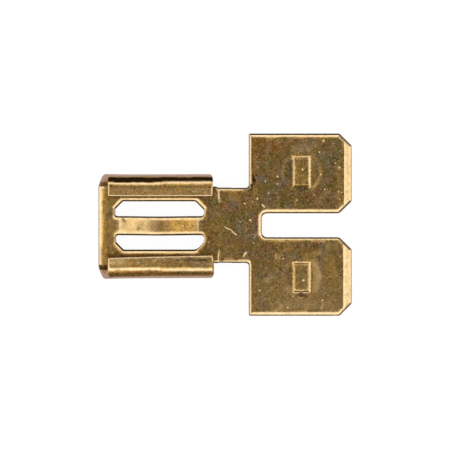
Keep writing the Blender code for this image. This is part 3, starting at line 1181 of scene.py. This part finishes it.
class Blank:
    """The flat sheet: its edges ring by ring, and the face and underside that the rings enclose."""

    ROW = math.sqrt(3) / 2

    def __init__(self, loops: list[Loop], creases: list[Array], details: list[Array], fold: float) -> None:
        """Lays out the blank.

        Args:
            loops: The outer edge and then the slots' edges.
            creases: Lines that the face's mesh follows.
            details: Points that the face's mesh has besides.
            fold: How far from the centreline the sheet is folded up.
        """
        profile = SHEET.profile()
        self.points: list[Array] = []
        self.faces: list[Array] = []
        self.count = 0
        under, over = [], []
        for loop in loops:
            numbers = [self._add(loop.ring(inset), height, height > SHEET.breakout_height)
                       for inset, height in profile]
            for lower, upper in zip(numbers, numbers[1:]):
                self.faces.append(np.stack((lower, np.roll(lower, -1), np.roll(upper, -1), upper), 1))
            under.append((loop.ring(profile[0][0]), numbers[0]))
            over.append((loop.ring(profile[-1][0]), numbers[-1]))
        rims = [rim for rim, _ in over]
        details = [clear_of(on_metal(bits, rims), rims + creases, CURL_FINE_PITCH) for bits in details]
        free = scattered(rims, creases + details, FACE_PITCH, FACE_PITCH * self.ROW)
        self._fill(over, creases, SHEET.thickness, np.concatenate(details + [free]))
        rims = [rim for rim, _ in under]
        coarse = scattered(rims, [], UNDERSIDE_PITCH, UNDERSIDE_PITCH * self.ROW)
        fine = scattered(rims, [], CURL_PITCH, CURL_FINE_PITCH)
        fine = fine[(np.abs(fine[:, 1]) > fold) & (fine[:, 0] < 0)]
        coarse = coarse[(np.abs(coarse[:, 1]) < fold - UNDERSIDE_PITCH) | (coarse[:, 0] > UNDERSIDE_PITCH)]
        self._fill(under, [], 0.0, np.concatenate((coarse, fine)))
        self.relief = self._relief(loops)

    def _add(self, places: Array, height: float, face: bool) -> Array:
        """Adds points at one height.

        Args:
            places: Their places in the blank, one row each.
            height: Their height.
            face: Whether they belong to the face or to the clean cut of an edge.

        Returns:
            Their numbers.
        """
        self.points.append(np.hstack((places, np.full((len(places), 2), (height, float(face))))))
        self.count += len(places)
        return np.arange(self.count - len(places), self.count)

    def _fill(
        self, rims: list[tuple[Array, Array]], creases: list[Array], height: float, free: Array
    ) -> None:
        """Fills the metal between its rims, on the face or on the underside.

        Args:
            rims: The points and the numbers of each rim.
            creases: Lines that the mesh follows.
            height: Where the surface is: 0 is the underside, seen from below.
            free: The points between.
        """
        faces = triangles_between([rim for rim, _ in rims], creases, free)
        numbers = [taken for _, taken in rims]
        numbers += [self._add(line, height, height > 0) for line in creases + [free]]
        faces = np.concatenate(numbers)[faces]
        self.faces.append(faces if height > 0 else faces[:, ::-1])

    def _relief(self, loops: list[Loop]) -> Relief:
        """Works out each point's distance from the nearest edge, and where that edge faces.

        Args:
            loops: The blank's edges.

        Returns:
            The points, ready to be pressed.
        """
        x, y, z, face = np.concatenate(self.points).T
        rims = np.concatenate([loop.ring(0.0) for loop in loops])
        facing = np.concatenate([loop.facing() for loop in loops])
        closest, away = nearest(np.stack((x, y), 1), rims)
        return Relief(x, y, z, face, away, facing[closest])

    def mesh(self) -> bpy.types.Mesh:
        """The blank as a mesh.

        Returns:
            A closed mesh, with the finish as attributes.
        """
        relief = self.relief
        mesh = bpy.data.meshes.new(NODE)
        places = np.stack((relief.x, relief.y, relief.z), 1)
        faces = [tuple(face) for group in self.faces for face in group.tolist()]
        mesh.from_pydata(places.tolist(), [], faces)
        for layer, amount in relief.layers.items():
            attribute = mesh.attributes.new(layer.value, "FLOAT", "POINT")
            attribute.data.foreach_set("value", amount.astype(np.float32))
        return mesh


class Wiring:
    """Adds and joins the nodes of one tree."""

    def __init__(self, tree: bpy.types.NodeTree) -> None:
        """Starts on a tree."""
        self.tree = tree

    def node(self, kind: str, inputs: dict[str | int, Any] | None = None, **settings: Any) -> bpy.types.Node:
        """Adds a node.

        Args:
            kind: The node's type.
            inputs: A value or another node's output for each input, by name or number.
            **settings: The node's own settings.

        Returns:
            The node.
        """
        made = self.tree.nodes.new(kind)
        for name, value in settings.items():
            setattr(made, name, value)
        for name, value in (inputs or {}).items():
            if isinstance(value, Socket):
                self.tree.links.new(value, made.inputs[name])
            else:
                made.inputs[name].default_value = value
        return made

    def math(self, operation: str, *values: Value, clamp: bool = False) -> Socket:
        """The result of a Math node, kept between 0 and 1 if clamp is set."""
        made = self.node("ShaderNodeMath", dict(enumerate(values)), operation=operation, use_clamp=clamp)
        return made.outputs[0]

    def times(self, first: Value, second: Value, clamp: bool = False) -> Socket:
        """The product of two values, kept between 0 and 1 if clamp is set."""
        return self.math("MULTIPLY", first, second, clamp=clamp)

    def plus(self, first: Value, second: Value) -> Socket:
        """The sum of two values."""
        return self.math("ADD", first, second)

    def minus(self, first: Value, second: Value) -> Socket:
        """The first value less the second."""
        return self.math("SUBTRACT", first, second)

    def remap(self, value: Socket, start: float, end: float, low: float = 0.0, high: float = 1.0) -> Socket:
        """A smooth step from low to high while the value goes from start to end."""
        inputs = {"Value": value, "From Min": start, "From Max": end, "To Min": low, "To Max": high}
        return self.node("ShaderNodeMapRange", inputs, interpolation_type="SMOOTHSTEP").outputs["Result"]

    def between(self, share: Socket, first: Value, second: Value) -> Socket:
        """A mix of two values, with this share of the second."""
        return self.node("ShaderNodeMix", {0: share, 2: first, 3: second}).outputs[0]

    def blend(self, share: Value, first: Socket | Colour, second: Socket | Colour) -> Socket:
        """A mix of two colours, with this share of the second."""
        return self.node("ShaderNodeMix", {0: share, 6: first, 7: second}, data_type="RGBA").outputs[2]

    def noise(self, place: Socket, scale: float, detail: float, roughness: float) -> bpy.types.Node:
        """A noise with so many features in a metre, finer layers, and a share for each of these."""
        inputs = {"Vector": place, "Scale": scale, "Detail": detail, "Roughness": roughness}
        return self.node("ShaderNodeTexNoise", inputs)


class FoldTree:
    """The Geometry Nodes tree that bows the bridge and folds the receptacle.

    A point is carried out along the middle of the sheet: over the floor, round the first bend, up
    the wall, round the second bend and along the lip. Its height in the sheet then sets it off at
    a right angle to that path.
    """

    def __init__(self, material: bpy.types.Material, sizes: dict[str, float]) -> None:
        """Builds the tree.

        Args:
            material: The finish that it sets.
            sizes: The value of each named input.
        """
        self.sizes = sizes
        self.tree = bpy.data.node_groups.new("bow_and_fold", "GeometryNodeTree")
        face = self.tree.interface
        for way in ("OUTPUT", "INPUT"):
            face.new_socket(name="Geometry", in_out=way, socket_type="NodeSocketGeometry")
        self.sockets = {
            name: face.new_socket(name=name, in_out="INPUT", socket_type="NodeSocketFloat").identifier
            for name in sizes
        }
        self.wiring = Wiring(self.tree)
        self.given = self.wiring.node("NodeGroupInput").outputs
        node = self.wiring.node
        x, y, z = node("ShaderNodeSeparateXYZ", {0: node("GeometryNodeInputPosition").outputs[0]}).outputs
        folded = self._fold(x, y, self.wiring.plus(z, self._bow(x, y)))
        moved = node("GeometryNodeSetPosition", {"Geometry": self.given["Geometry"], "Position": folded})
        whole = node("GeometryNodeRealizeInstances", {"Geometry": moved.outputs[0]})
        dressed = node("GeometryNodeSetMaterial", {"Geometry": whole.outputs[0], "Material": material})
        node("NodeGroupOutput", {"Geometry": dressed.outputs[0]})

    def _bow(self, x: Socket, y: Socket) -> Socket:
        """How far a point is raised: a straight ramp from each end of the bridge, and a round crown.

        Args:
            x: The point's place along the adapter.
            y: Its place across it.

        Returns:
            The rise.
        """
        math_, times, minus = self.wiring.math, self.wiring.times, self.wiring.minus
        half, crown = self.given["Bow Half"], self.given["Crown Half"]
        away = math_("ABSOLUTE", minus(x, self.given["Bow Middle"]))
        ramp_rise = math_("MAXIMUM", minus(half, math_("MAXIMUM", away, crown)), 0.0)
        on_crown = math_("MINIMUM", away, crown)
        crown_rise = minus(times(crown, crown), times(on_crown, on_crown))
        crown_rise = math_("DIVIDE", crown_rise, times(crown, 2.0))
        rise = times(self.wiring.plus(ramp_rise, crown_rise), self.given["Bow Slope"])
        across = math_("ABSOLUTE", minus(y, self.given["Bridge Centre"]))
        on_bridge = math_("LESS_THAN", across, self.given["Bridge Half"])
        return times(rise, times(on_bridge, math_("LESS_THAN", away, half)))

    def _fold(self, x: Socket, y: Socket, z: Socket) -> Socket:
        """Where a point ends up.

        Args:
            x: Its place along the adapter.
            y: Its place across the blank.
            z: Its height in the flat sheet.

        Returns:
            Its place in the folded sheet.
        """
        wiring, given, quarter = self.wiring, self.given, math.pi / 2
        math_, times, plus, minus = wiring.math, wiring.times, wiring.plus, wiring.minus
        floor, radius, wall = given["Floor Half"], given["Bend Radius"], given["Wall"]
        from_centre = minus(y, given["Centre"])
        on_receptacle = math_("LESS_THAN", x, given["Fold End"])
        beyond = minus(math_("ABSOLUTE", from_centre), floor)
        left = times(math_("MAXIMUM", beyond, 0.0), on_receptacle)
        first = math_("MINIMUM", math_("DIVIDE", left, radius), quarter)
        left = math_("MAXIMUM", minus(left, times(radius, quarter)), 0.0)
        up_wall = math_("MINIMUM", left, wall)
        left = minus(left, up_wall)
        whole_turn = plus(given["Droop"], quarter)
        second = math_("MINIMUM", math_("DIVIDE", left, radius), whole_turn)
        on_lip = math_("MAXIMUM", minus(left, times(radius, whole_turn)), 0.0)
        heading = plus(first, second)
        level, steep = math_("COSINE", heading), math_("SINE", heading)
        reach = minus(plus(math_("SINE", first), math_("COSINE", second)), 1.0)
        rise = minus(plus(math_("SINE", second), 1.0), math_("COSINE", first))
        middle = math_("DIVIDE", given["Thickness"], 2.0)
        proud = minus(z, middle)
        out = plus(plus(floor, times(reach, radius)), times(on_lip, level))
        out = minus(out, times(proud, steep))
        up = plus(plus(times(rise, radius), up_wall), times(on_lip, steep))
        up = plus(plus(up, times(proud, level)), middle)
        out = plus(times(out, math_("SIGN", from_centre)), given["Centre"])
        bends = math_("GREATER_THAN", times(beyond, on_receptacle), 0.0)
        strain = times(self._strain(x, from_centre), on_receptacle)
        new_y = plus(wiring.between(bends, y, out), strain)
        new_z = wiring.between(bends, z, up)
        return wiring.node("ShaderNodeCombineXYZ", {0: x, 1: new_y, 2: new_z}).outputs[0]

    def _strain(self, x: Socket, from_centre: Socket) -> Socket:
        """How far use has pushed a point aside: the curls stand a little askew and wider at the mouth.

        Args:
            x: The point's place along the adapter.
            from_centre: Its place across the blank, from the receptacle's centreline.

        Returns:
            The distance towards +Y.
        """
        math_, times, minus = self.wiring.math, self.wiring.times, self.wiring.minus
        given, start = self.given, self.given["Splay Start"]
        askew = times(minus(x, given["Skew Middle"]), given["Skew"])
        opened = math_("DIVIDE", minus(start, x), minus(start, given["Splay End"]), clamp=True)
        opened = times(times(opened, opened), given["Splay"])
        aside = self.wiring.plus(askew, times(opened, math_("SIGN", from_centre)))
        share = math_("MINIMUM", math_("DIVIDE", math_("ABSOLUTE", from_centre), given["Floor Half"]), 1.0)
        return times(aside, times(share, times(share, share)))

    def applied(self, mesh: bpy.types.Mesh) -> bpy.types.Object:
        """Folds a blank.

        Args:
            mesh: The flat blank.

        Returns:
            A new object with a plain mesh, at the origin.
        """
        blank = placed("blank", mesh)
        fold = blank.modifiers.new("bow_and_fold", "NODES")
        fold.node_group = self.tree
        for name, value in self.sizes.items():
            fold[self.sockets[name]] = value
        ready = blank.evaluated_get(bpy.context.evaluated_depsgraph_get())
        folded = bpy.data.meshes.new_from_object(ready)
        bpy.data.objects.remove(blank)
        folded.name = NODE
        return placed("folded_sheet", folded)


@dataclass(frozen=True)
class TarnishedBrass:
    """Old stamped brass: olive to brown on its faces, gold where it is rubbed and where highlights are
    painted, dark where grime sits and where shade is painted.
    """

    olive: Colour = (0.31, 0.193, 0.043, 1)
    brown: Colour = (0.34, 0.176, 0.043, 1)
    reddish: Colour = (0.40, 0.17, 0.065, 1)
    green: Colour = (0.24, 0.185, 0.026, 1)
    dark_olive: Colour = (0.085, 0.056, 0.017, 1)
    pale_gold: Colour = (0.69, 0.475, 0.22, 1)
    # Golden: rubbed and tarnished metal, and painted highlights beside the bright lines
    golden: Colour = (0.76, 0.425, 0.09, 1)
    # Amber: stains, and painted shade under the lips and in the bends
    amber: Colour = (0.38, 0.165, 0.02, 1)
    grey: Colour = (0.31, 0.235, 0.135, 1)
    # The colour of rubbed metal and of painted highlights
    burnished: Colour = (0.98, 0.745, 0.425, 1)
    # Coppery: the curls' skin and stains, and a painted reflection on the cut across the ends
    coppery: Colour = (0.44, 0.27, 0.18, 1)
    # The colour of grime and of painted shade
    dirt: Colour = (0.026, 0.012, 0.003, 1)
    pale_grain: Colour = (0.80, 0.585, 0.33, 1)
    dark_grain: Colour = (0.05, 0.030, 0.007, 1)
    roughness: float = 0.22
    roughness_swing: float = 0.06
    # How high the mottle and the grain stand, and how deep the nicks are for their size, in metres
    mottle_height: float = 0.000012
    grain_height: float = 0.000005
    nick_depth: float = 0.0002
    # How many nicks a metre could hold, and how far they reach, as a share of their spacing
    nicks_per_metre: float = 2400.0
    nick_reach: float = 0.17
    # How the marks of the rolling mill are drawn out across the adapter
    rolling: tuple[float, float, float] = (1.0, 0.08, 1.0)

    def material(self) -> bpy.types.Material:
        """The finish as a material.

        Returns:
            The material.
        """
        made = bpy.data.materials.new(SLOT)
        made.use_nodes = True
        tree = made.node_tree
        shader = tree.nodes["Principled BSDF"]
        wiring = Wiring(tree)
        place = wiring.node("ShaderNodeTexCoord").outputs["Object"]
        layers = {
            layer: wiring.node("ShaderNodeAttribute", attribute_name=layer.value).outputs["Fac"]
            for layer in FinishLayer
        }
        uneven = wiring.remap(wiring.noise(place, 2600, 3, 0.65).outputs["Fac"], 0.3, 0.7, 0.7, 1.15)
        mottle = wiring.noise(place, 3000, 5, 0.7).outputs["Fac"]
        colour = self._tarnish(wiring, place)
        paints = {
            FinishLayer.GREY: self.grey, FinishLayer.AMBER: self.amber, FinishLayer.GOLDEN: self.golden,
            FinishLayer.COPPERY: self.coppery, FinishLayer.BURNISH_AND_HIGHLIGHT: self.burnished,
        }
        for layer, paint in paints.items():
            share = wiring.times(layers[layer], uneven, clamp=True)
            colour = wiring.blend(share, colour, paint)
            if layer is FinishLayer.GOLDEN:
                colour = self._mottled(wiring, place, colour, mottle, share)
        speck = self._specks(wiring, place)
        nicked = wiring.times(speck, 12.0, clamp=True)
        colour = wiring.blend(nicked, colour, self.burnished)
        # Grime and painted shade darken the colour and take the metal away
        dirty = wiring.times(layers[FinishLayer.DIRT_AND_SHADE], uneven, clamp=True)
        swing = self.roughness_swing
        rough = wiring.remap(mottle, 0.3, 0.7, self.roughness + swing, self.roughness - swing)
        for roughened, most in ((dirty, 0.3), (layers[FinishLayer.COPPERY], 0.1), (nicked, 0.2)):
            rough = wiring.plus(rough, wiring.times(roughened, most))
        metal = wiring.remap(dirty, 0.25, 0.6, 1.0, 0.0)
        fine = wiring.noise(place, 8000, 2, 0.5).outputs["Fac"]
        height = wiring.plus(
            wiring.times(mottle, self.mottle_height), wiring.times(fine, self.grain_height)
        )
        height = wiring.plus(height, wiring.times(speck, self.nick_depth))
        bump = wiring.node("ShaderNodeBump", {"Height": height, "Distance": 1.0, "Strength": 1.0})
        surface = {
            "Base Color": wiring.blend(dirty, colour, self.dirt), "Roughness": rough, "Metallic": metal,
            "Specular IOR Level": wiring.times(metal, 0.5), "Normal": bump.outputs[0],
        }
        for name, value in surface.items():
            tree.links.new(value, shader.inputs[name])
        return made

    def _tarnish(self, wiring: Wiring, place: Socket) -> Socket:
        """Colours the plain tarnished brass, patch by patch.

        Args:
            wiring: The material's nodes.
            place: The coordinates.

        Returns:
            The colour.
        """
        patches = wiring.remap(wiring.noise(place, 700, 3, 0.6).outputs["Fac"], 0.38, 0.62)
        colour = wiring.blend(patches, self.olive, self.brown)
        for scale, strength in ((900, 0.85), (1900, 0.4)):
            cloud = wiring.noise(place, scale, 1, 0.5).outputs["Color"]
            tints = wiring.node("ShaderNodeSeparateColor", {0: cloud}).outputs
            for tint, paint in zip(tints, (self.reddish, self.green, self.grey)):
                colour = wiring.blend(wiring.remap(tint, 0.5, 0.7, 0, strength), colour, paint)
        rolled = wiring.node("ShaderNodeVectorMath", {0: place, 1: self.rolling}, operation="MULTIPLY")
        streaks = wiring.noise(rolled.outputs[0], 2000, 2, 0.5).outputs["Fac"]
        return wiring.blend(wiring.remap(streaks, 0.5, 0.7, 0, 0.35), colour, self.golden)

    def _mottled(
        self, wiring: Wiring, place: Socket, colour: Socket, mottle: Socket, golden: Socket
    ) -> Socket:
        """Spots a colour with darker and paler tarnish, less where it is golden.

        Args:
            wiring: The material's nodes.
            place: The coordinates.
            colour: The colour.
            mottle: The noise that the larger spots follow.
            golden: How golden it is.

        Returns:
            The colour.
        """
        grain = wiring.noise(place, 8000, 2, 0.6).outputs["Fac"]
        plain = wiring.minus(1.0, wiring.times(golden, 0.35))
        for noise, middle, reach, most, paint in (
            (mottle, 0.54, -0.23, 0.9, self.dark_olive), (mottle, 0.54, 0.18, 0.65, self.pale_gold),
            (grain, 0.5, 0.25, 0.5, self.pale_grain), (grain, 0.5, -0.25, 0.7, self.dark_grain),
        ):
            share = wiring.times(wiring.remap(noise, middle, middle + reach, 0, most), plain)
            colour = wiring.blend(share, colour, paint)
        return colour

    def _specks(self, wiring: Wiring, place: Socket) -> Socket:
        """Scatters small bright nicks.

        Args:
            wiring: The material's nodes.
            place: The coordinates.

        Returns:
            How far inside a nick a point is, and 0 elsewhere.
        """
        cells = wiring.node("ShaderNodeTexVoronoi", {"Vector": place, "Scale": self.nicks_per_metre}).outputs
        chance = wiring.node("ShaderNodeSeparateColor", {0: cells["Color"]}).outputs[0]
        size = wiring.remap(chance, 0.8, 1.0, 0.0, self.nick_reach)
        return wiring.math("MAXIMUM", wiring.minus(size, cells["Distance"]), 0.0)


@dataclass(frozen=True)
class Adapter:
    """The whole adapter: tabs, neck and receptacle, cut from one sheet and folded."""

    tabs: Tabs = Tabs()
    receptacle: Receptacle = Receptacle()
    marks: Marks = Marks()
    finish: TarnishedBrass = TarnishedBrass()
    sharp_angle: float = math.radians(40)

    def loops(self) -> list[Loop]:
        """The edges of the blank.

        Returns:
            The outer edge and then the edges of the slots.
        """
        upper = self.tabs.corners(1) + self.receptacle.corners(1, self.tabs.shoulder)
        lower = self.receptacle.corners(-1, self.tabs.shoulder) + self.tabs.corners(-1)
        return [Loop(upper + lower), self.receptacle.slot(1), self.receptacle.slot(-1)]

    def paint_edge_light_and_wear(self, relief: Relief) -> None:
        """Paints highlights, partly rubbed metal, on the sheared edges' roll-over, shade with some grime
        along their sides, and a coppery reflection across their ends.

        Args:
            relief: The blank.
        """
        x, face, edge = relief.x, relief.face, relief.edge
        endways, sideways = relief.facing.T
        from_middle = np.abs(relief.y)
        along = np.abs(sideways)
        upward, downward = ramp(sideways, 0.3, 0.6), ramp(-sideways, 0.3, 0.6)
        across = 1 - ramp(along, 0.3, 0.6)
        outer = ramp(from_middle, 0.0066, 0.0068)
        shoulders = face * ramp(-endways, 0.7, 0.9) * ramp(x, 0.0, 0.001)
        behind = ramp(x, -0.0012, -0.0008) * (1 - outer)
        narrow = np.maximum(upward * behind, shoulders)
        slots = ramp(x, -0.0011, -0.0013) * ramp(from_middle, 0.0026, 0.0024) * ramp(x, -0.0094, -0.0092)
        thin = slots * ramp(-relief.y, 0.0, 0.0001) * ramp(endways, 0.4, 0.6)
        neck = downward * ramp(from_middle, 0.0035, 0.0032)
        neck *= ramp(x, 0.0012, 0.0008) * ramp(x, -0.0012, -0.0008)
        gap_end = ramp(endways, 0.5, 0.9) * ramp(x, 0.001, 0.0015) * ramp(x, 0.005, 0.004)
        chamfers = ramp(endways, 0.4, 0.6) * along * ramp(x, 0.0085, 0.009) * ramp(along, 0.4, 0.6)
        # Painted highlight, partly rubbed metal: a bright band on the shoulder of each roll-over, golden
        # along the slots
        start = SHEET.steep_end + 0.00002 * downward
        end = SHEET.shine_end - 0.00001 - 0.00006 * narrow + 0.00001 * downward - 0.0001 * neck
        end -= 0.00006 * thin + 0.00003 * across * (1 - shoulders) - 0.00003 * gap_end
        shine = face * band(edge, start, end, 0.00003)
        relief.add_layers(shine * (1 - 0.2 * slots - 0.15 * gap_end), burnished=1)
        relief.add_layers(shine * slots, golden=1)
        # Painted highlight: a golden fade inward of the bright band, along the sides
        fade_start = SHEET.shine_end - 0.00003
        fade = face * ramp(edge, SHEET.roll_end, fade_start) * along
        relief.add_layers(fade * (0.6 - 0.4 * np.maximum(narrow, neck)), golden=1)
        relief.add_layers(shoulders * band(edge, fade_start, SHEET.roll_end - 0.0001, 0.00004), amber=1, dirty=0.6)
        relief.add_layers(shoulders * band(edge, SHEET.shine_end, 0.0006, 0.0002), dirty=0.3)
        # Painted shade on the cut of the sides, with some grime: wider and darker where an edge faces +Y,
        # away from the light; amber on every cut
        dark_share = 0.6 + 0.4 * upward + (0.8 * upward - 0.5 * downward) * outer + 2.2 * chamfers
        dark_end = SHEET.breakout + SHEET.steep_width * dark_share
        cut = ramp(edge, dark_end + 0.000005, dark_end - 0.000005)
        strength = 0.68 + 0.12 * ramp(edge, 0.00003, 0.00006) + 0.15 * slots
        strength += 0.4 * ramp(sideways, 0.7, 0.9) * (1 - behind) * ramp(from_middle, 0.0012, 0.0014)
        relief.add_layers(cut * (1 - across) * strength, dirty=1)
        relief.add_layers(cut, amber=1)
        # A painted coppery reflection on the cut across the ends
        relief.add_layers(cut * across, coppery=0.5)
        relief.add_layers(cut * gap_end, dirty=0.3)

    def fold_sizes(self) -> dict[str, float]:
        """The sizes of the fold and of the bow.

        Returns:
            A value for each of the tree's named inputs.
        """
        r = self.receptacle
        bow_half = (r.bow_end - r.bow_start) / 2
        crown_half = bow_half - r.bow_ramp
        return {
            "Centre": r.centre, "Skew": r.skew, "Skew Middle": r.front + r.ends[0] / 2,
            "Splay": r.splay, "Splay Start": r.front + r.ends[0] * 0.4, "Splay End": r.front,
            "Floor Half": r.floor_half, "Bend Radius": r.bend_radius, "Wall": r.wall, "Droop": r.droop,
            "Thickness": SHEET.thickness, "Fold End": self.tabs.shoulder - r.neck_length / 2,
            "Bow Middle": (r.bow_start + r.bow_end) / 2, "Bow Half": bow_half, "Crown Half": crown_half,
            "Bow Slope": r.bow_height / (r.bow_ramp + crown_half / 2),
            "Bridge Centre": r.slot_centre, "Bridge Half": r.bridge_width / 2 + r.slot_widths[0] / 2,
        }

    def build(self) -> bpy.types.Object:
        """Cuts, presses and folds the sheet, gives it its worn colours, painted highlights and painted shade,
        and lets it ride on its body.

        Returns:
            The finished piece.
        """
        details = self.tabs.details() + self.marks.details()
        fold = self.receptacle.floor_half - UNDERSIDE_PITCH
        blank = Blank(self.loops(), self.tabs.creases(), details, fold)
        LOG.info("blank cut: %d points", blank.count)
        self.marks.press(blank.relief)
        self.paint_edge_light_and_wear(blank.relief)
        self.tabs.press(blank.relief)
        self.receptacle.press(blank.relief)
        piece = FoldTree(self.finish.material(), self.fold_sizes()).applied(blank.mesh())
        piece.data.shade_smooth()
        piece.data.set_sharp_from_angle(angle=self.sharp_angle)
        LOG.info("sheet folded: %d faces", len(piece.data.polygons))
        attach(piece, BODY)
        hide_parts(NODE)
        return piece


@dataclass(frozen=True)
class Table:
    """The pale table that the adapter lies on."""

    size: float = 1.2
    drop: float = 0.00002
    glow: float = 0.92
    paint: Colour = (0.12, 0.12, 0.12, 1)
    plain: Colour = (0.8, 0.8, 0.8, 1)

    def build(self) -> bpy.types.Object:
        """Lays the table.

        Returns:
            The table top.
        """
        half = self.size / 2
        mesh = bpy.data.meshes.new("table")
        corners = [(-half, -half), (half, -half), (half, half), (-half, half)]
        mesh.from_pydata([(x, y, -self.drop) for x, y in corners], [], [(0, 1, 2, 3)])
        mesh.materials.append(self.material())
        top = placed("table", mesh)
        return top

    def material(self) -> bpy.types.Material:
        """The table's white.

        Returns:
            A material that is white to the camera and in reflections, with a faint shadow, and plain
            paint to all other light.
        """
        made = bpy.data.materials.new("table_white")
        made.use_nodes = True
        made.node_tree.nodes.clear()
        wiring = Wiring(made.node_tree)
        ray = wiring.node("ShaderNodeLightPath").outputs
        seen = wiring.math("MAXIMUM", ray["Is Camera Ray"], ray["Is Glossy Ray"])
        seen = wiring.math("MAXIMUM", seen, ray["Is Transmission Ray"])
        glow = wiring.node("ShaderNodeEmission", {"Color": WHITE, "Strength": self.glow}).outputs[0]
        paint = wiring.node("ShaderNodeBsdfDiffuse", {"Color": self.paint}).outputs[0]
        bright = wiring.node("ShaderNodeAddShader", {0: glow, 1: paint}).outputs[0]
        plain = wiring.node("ShaderNodeBsdfDiffuse", {"Color": self.plain}).outputs[0]
        both = wiring.node("ShaderNodeMixShader", {0: seen, 1: plain, 2: bright}).outputs[0]
        wiring.node("ShaderNodeOutputMaterial", {"Surface": both})
        return made


@dataclass(frozen=True)
class Studio:
    """Soft light from all round: a dim patch overhead, a bright ring of softboxes, and dark far sides."""

    overhead: float = 0.32
    ring: float = 1.25
    ends: float = 1.1
    far_side: float = 0.16
    near_side: float = 0.95
    near_low: float = 0.2
    # Where each light passes into the next, in degrees from straight overhead
    overhead_rim: Pair = (8.0, 19.0)
    ring_rim: Pair = (42.0, 50.0)
    side_fall: Pair = (47.0, 84.0)
    # Where the near side begins, along Y, and where the ends begin, by X squared
    side_rim: Pair = (-0.15, 0.15)
    end_rim: Pair = (0.35, 0.75)

    def build(self) -> None:
        """Sets the world's light."""
        world = bpy.data.worlds.new("studio")
        bpy.context.scene.world = world
        world.use_nodes = True
        world.node_tree.nodes.clear()
        wiring = Wiring(world.node_tree)
        way = wiring.node("ShaderNodeTexCoord").outputs["Generated"]
        x, y, z = wiring.node("ShaderNodeSeparateXYZ", {0: way}).outputs
        angle = wiring.math("DEGREES", wiring.math("ARCCOSINE", z))
        flat = wiring.plus(wiring.times(x, x), wiring.times(y, y))
        end = wiring.math("DIVIDE", wiring.times(x, x), wiring.math("MAXIMUM", flat, 1e-6))
        falling = wiring.remap(angle, *self.side_fall, self.near_side, self.near_low)
        sides = wiring.between(wiring.remap(y, *self.side_rim), falling, self.far_side)
        low = wiring.between(wiring.remap(end, *self.end_rim), sides, self.ends)
        centre = wiring.remap(angle, *self.overhead_rim, self.overhead, self.ring)
        light = wiring.between(wiring.remap(angle, *self.ring_rim), centre, low)
        camera = wiring.node("ShaderNodeLightPath").outputs["Is Camera Ray"]
        light = wiring.between(camera, light, 1.0)
        colour = wiring.node("ShaderNodeBackground", {"Color": WHITE, "Strength": light})
        wiring.node("ShaderNodeOutputWorld", {"Surface": colour.outputs[0]})


@dataclass(frozen=True)
class Overhead:
    """The camera, straight above the adapter."""

    frame_pixels: int = 450
    pixels_per_metre: float = 12600.0
    middle: Pair = (0.0, -0.000028)
    distance: float = 0.3
    sensor: float = 36.0
    focus_height: float = 0.0008
    clip: Pair = (0.01, 10.0)

    def build(self) -> bpy.types.Object:
        """Sets up the camera.

        Returns:
            The camera.
        """
        data = bpy.data.cameras.new("overhead")
        data.type = "PERSP"
        data.sensor_width = self.sensor
        data.lens = self.sensor * self.distance * self.pixels_per_metre / self.frame_pixels
        data.clip_start, data.clip_end = self.clip
        camera = placed("overhead", data)
        camera.location = (*self.middle, self.focus_height + self.distance)
        bpy.context.scene.camera = camera
        return camera


def main() -> None:
    """Builds the adapter, the table, the light and the camera."""
    logging.basicConfig(level=logging.INFO, format="%(name)s: %(message)s")
    bpy.context.scene.view_settings.view_transform = "Standard"
    Overhead().build()
    Studio().build()
    Table().build()
    piece = Adapter().build()
    LOG.info("%s rides on %s", piece.name, BODY)


if __name__ == "__main__":
    main()
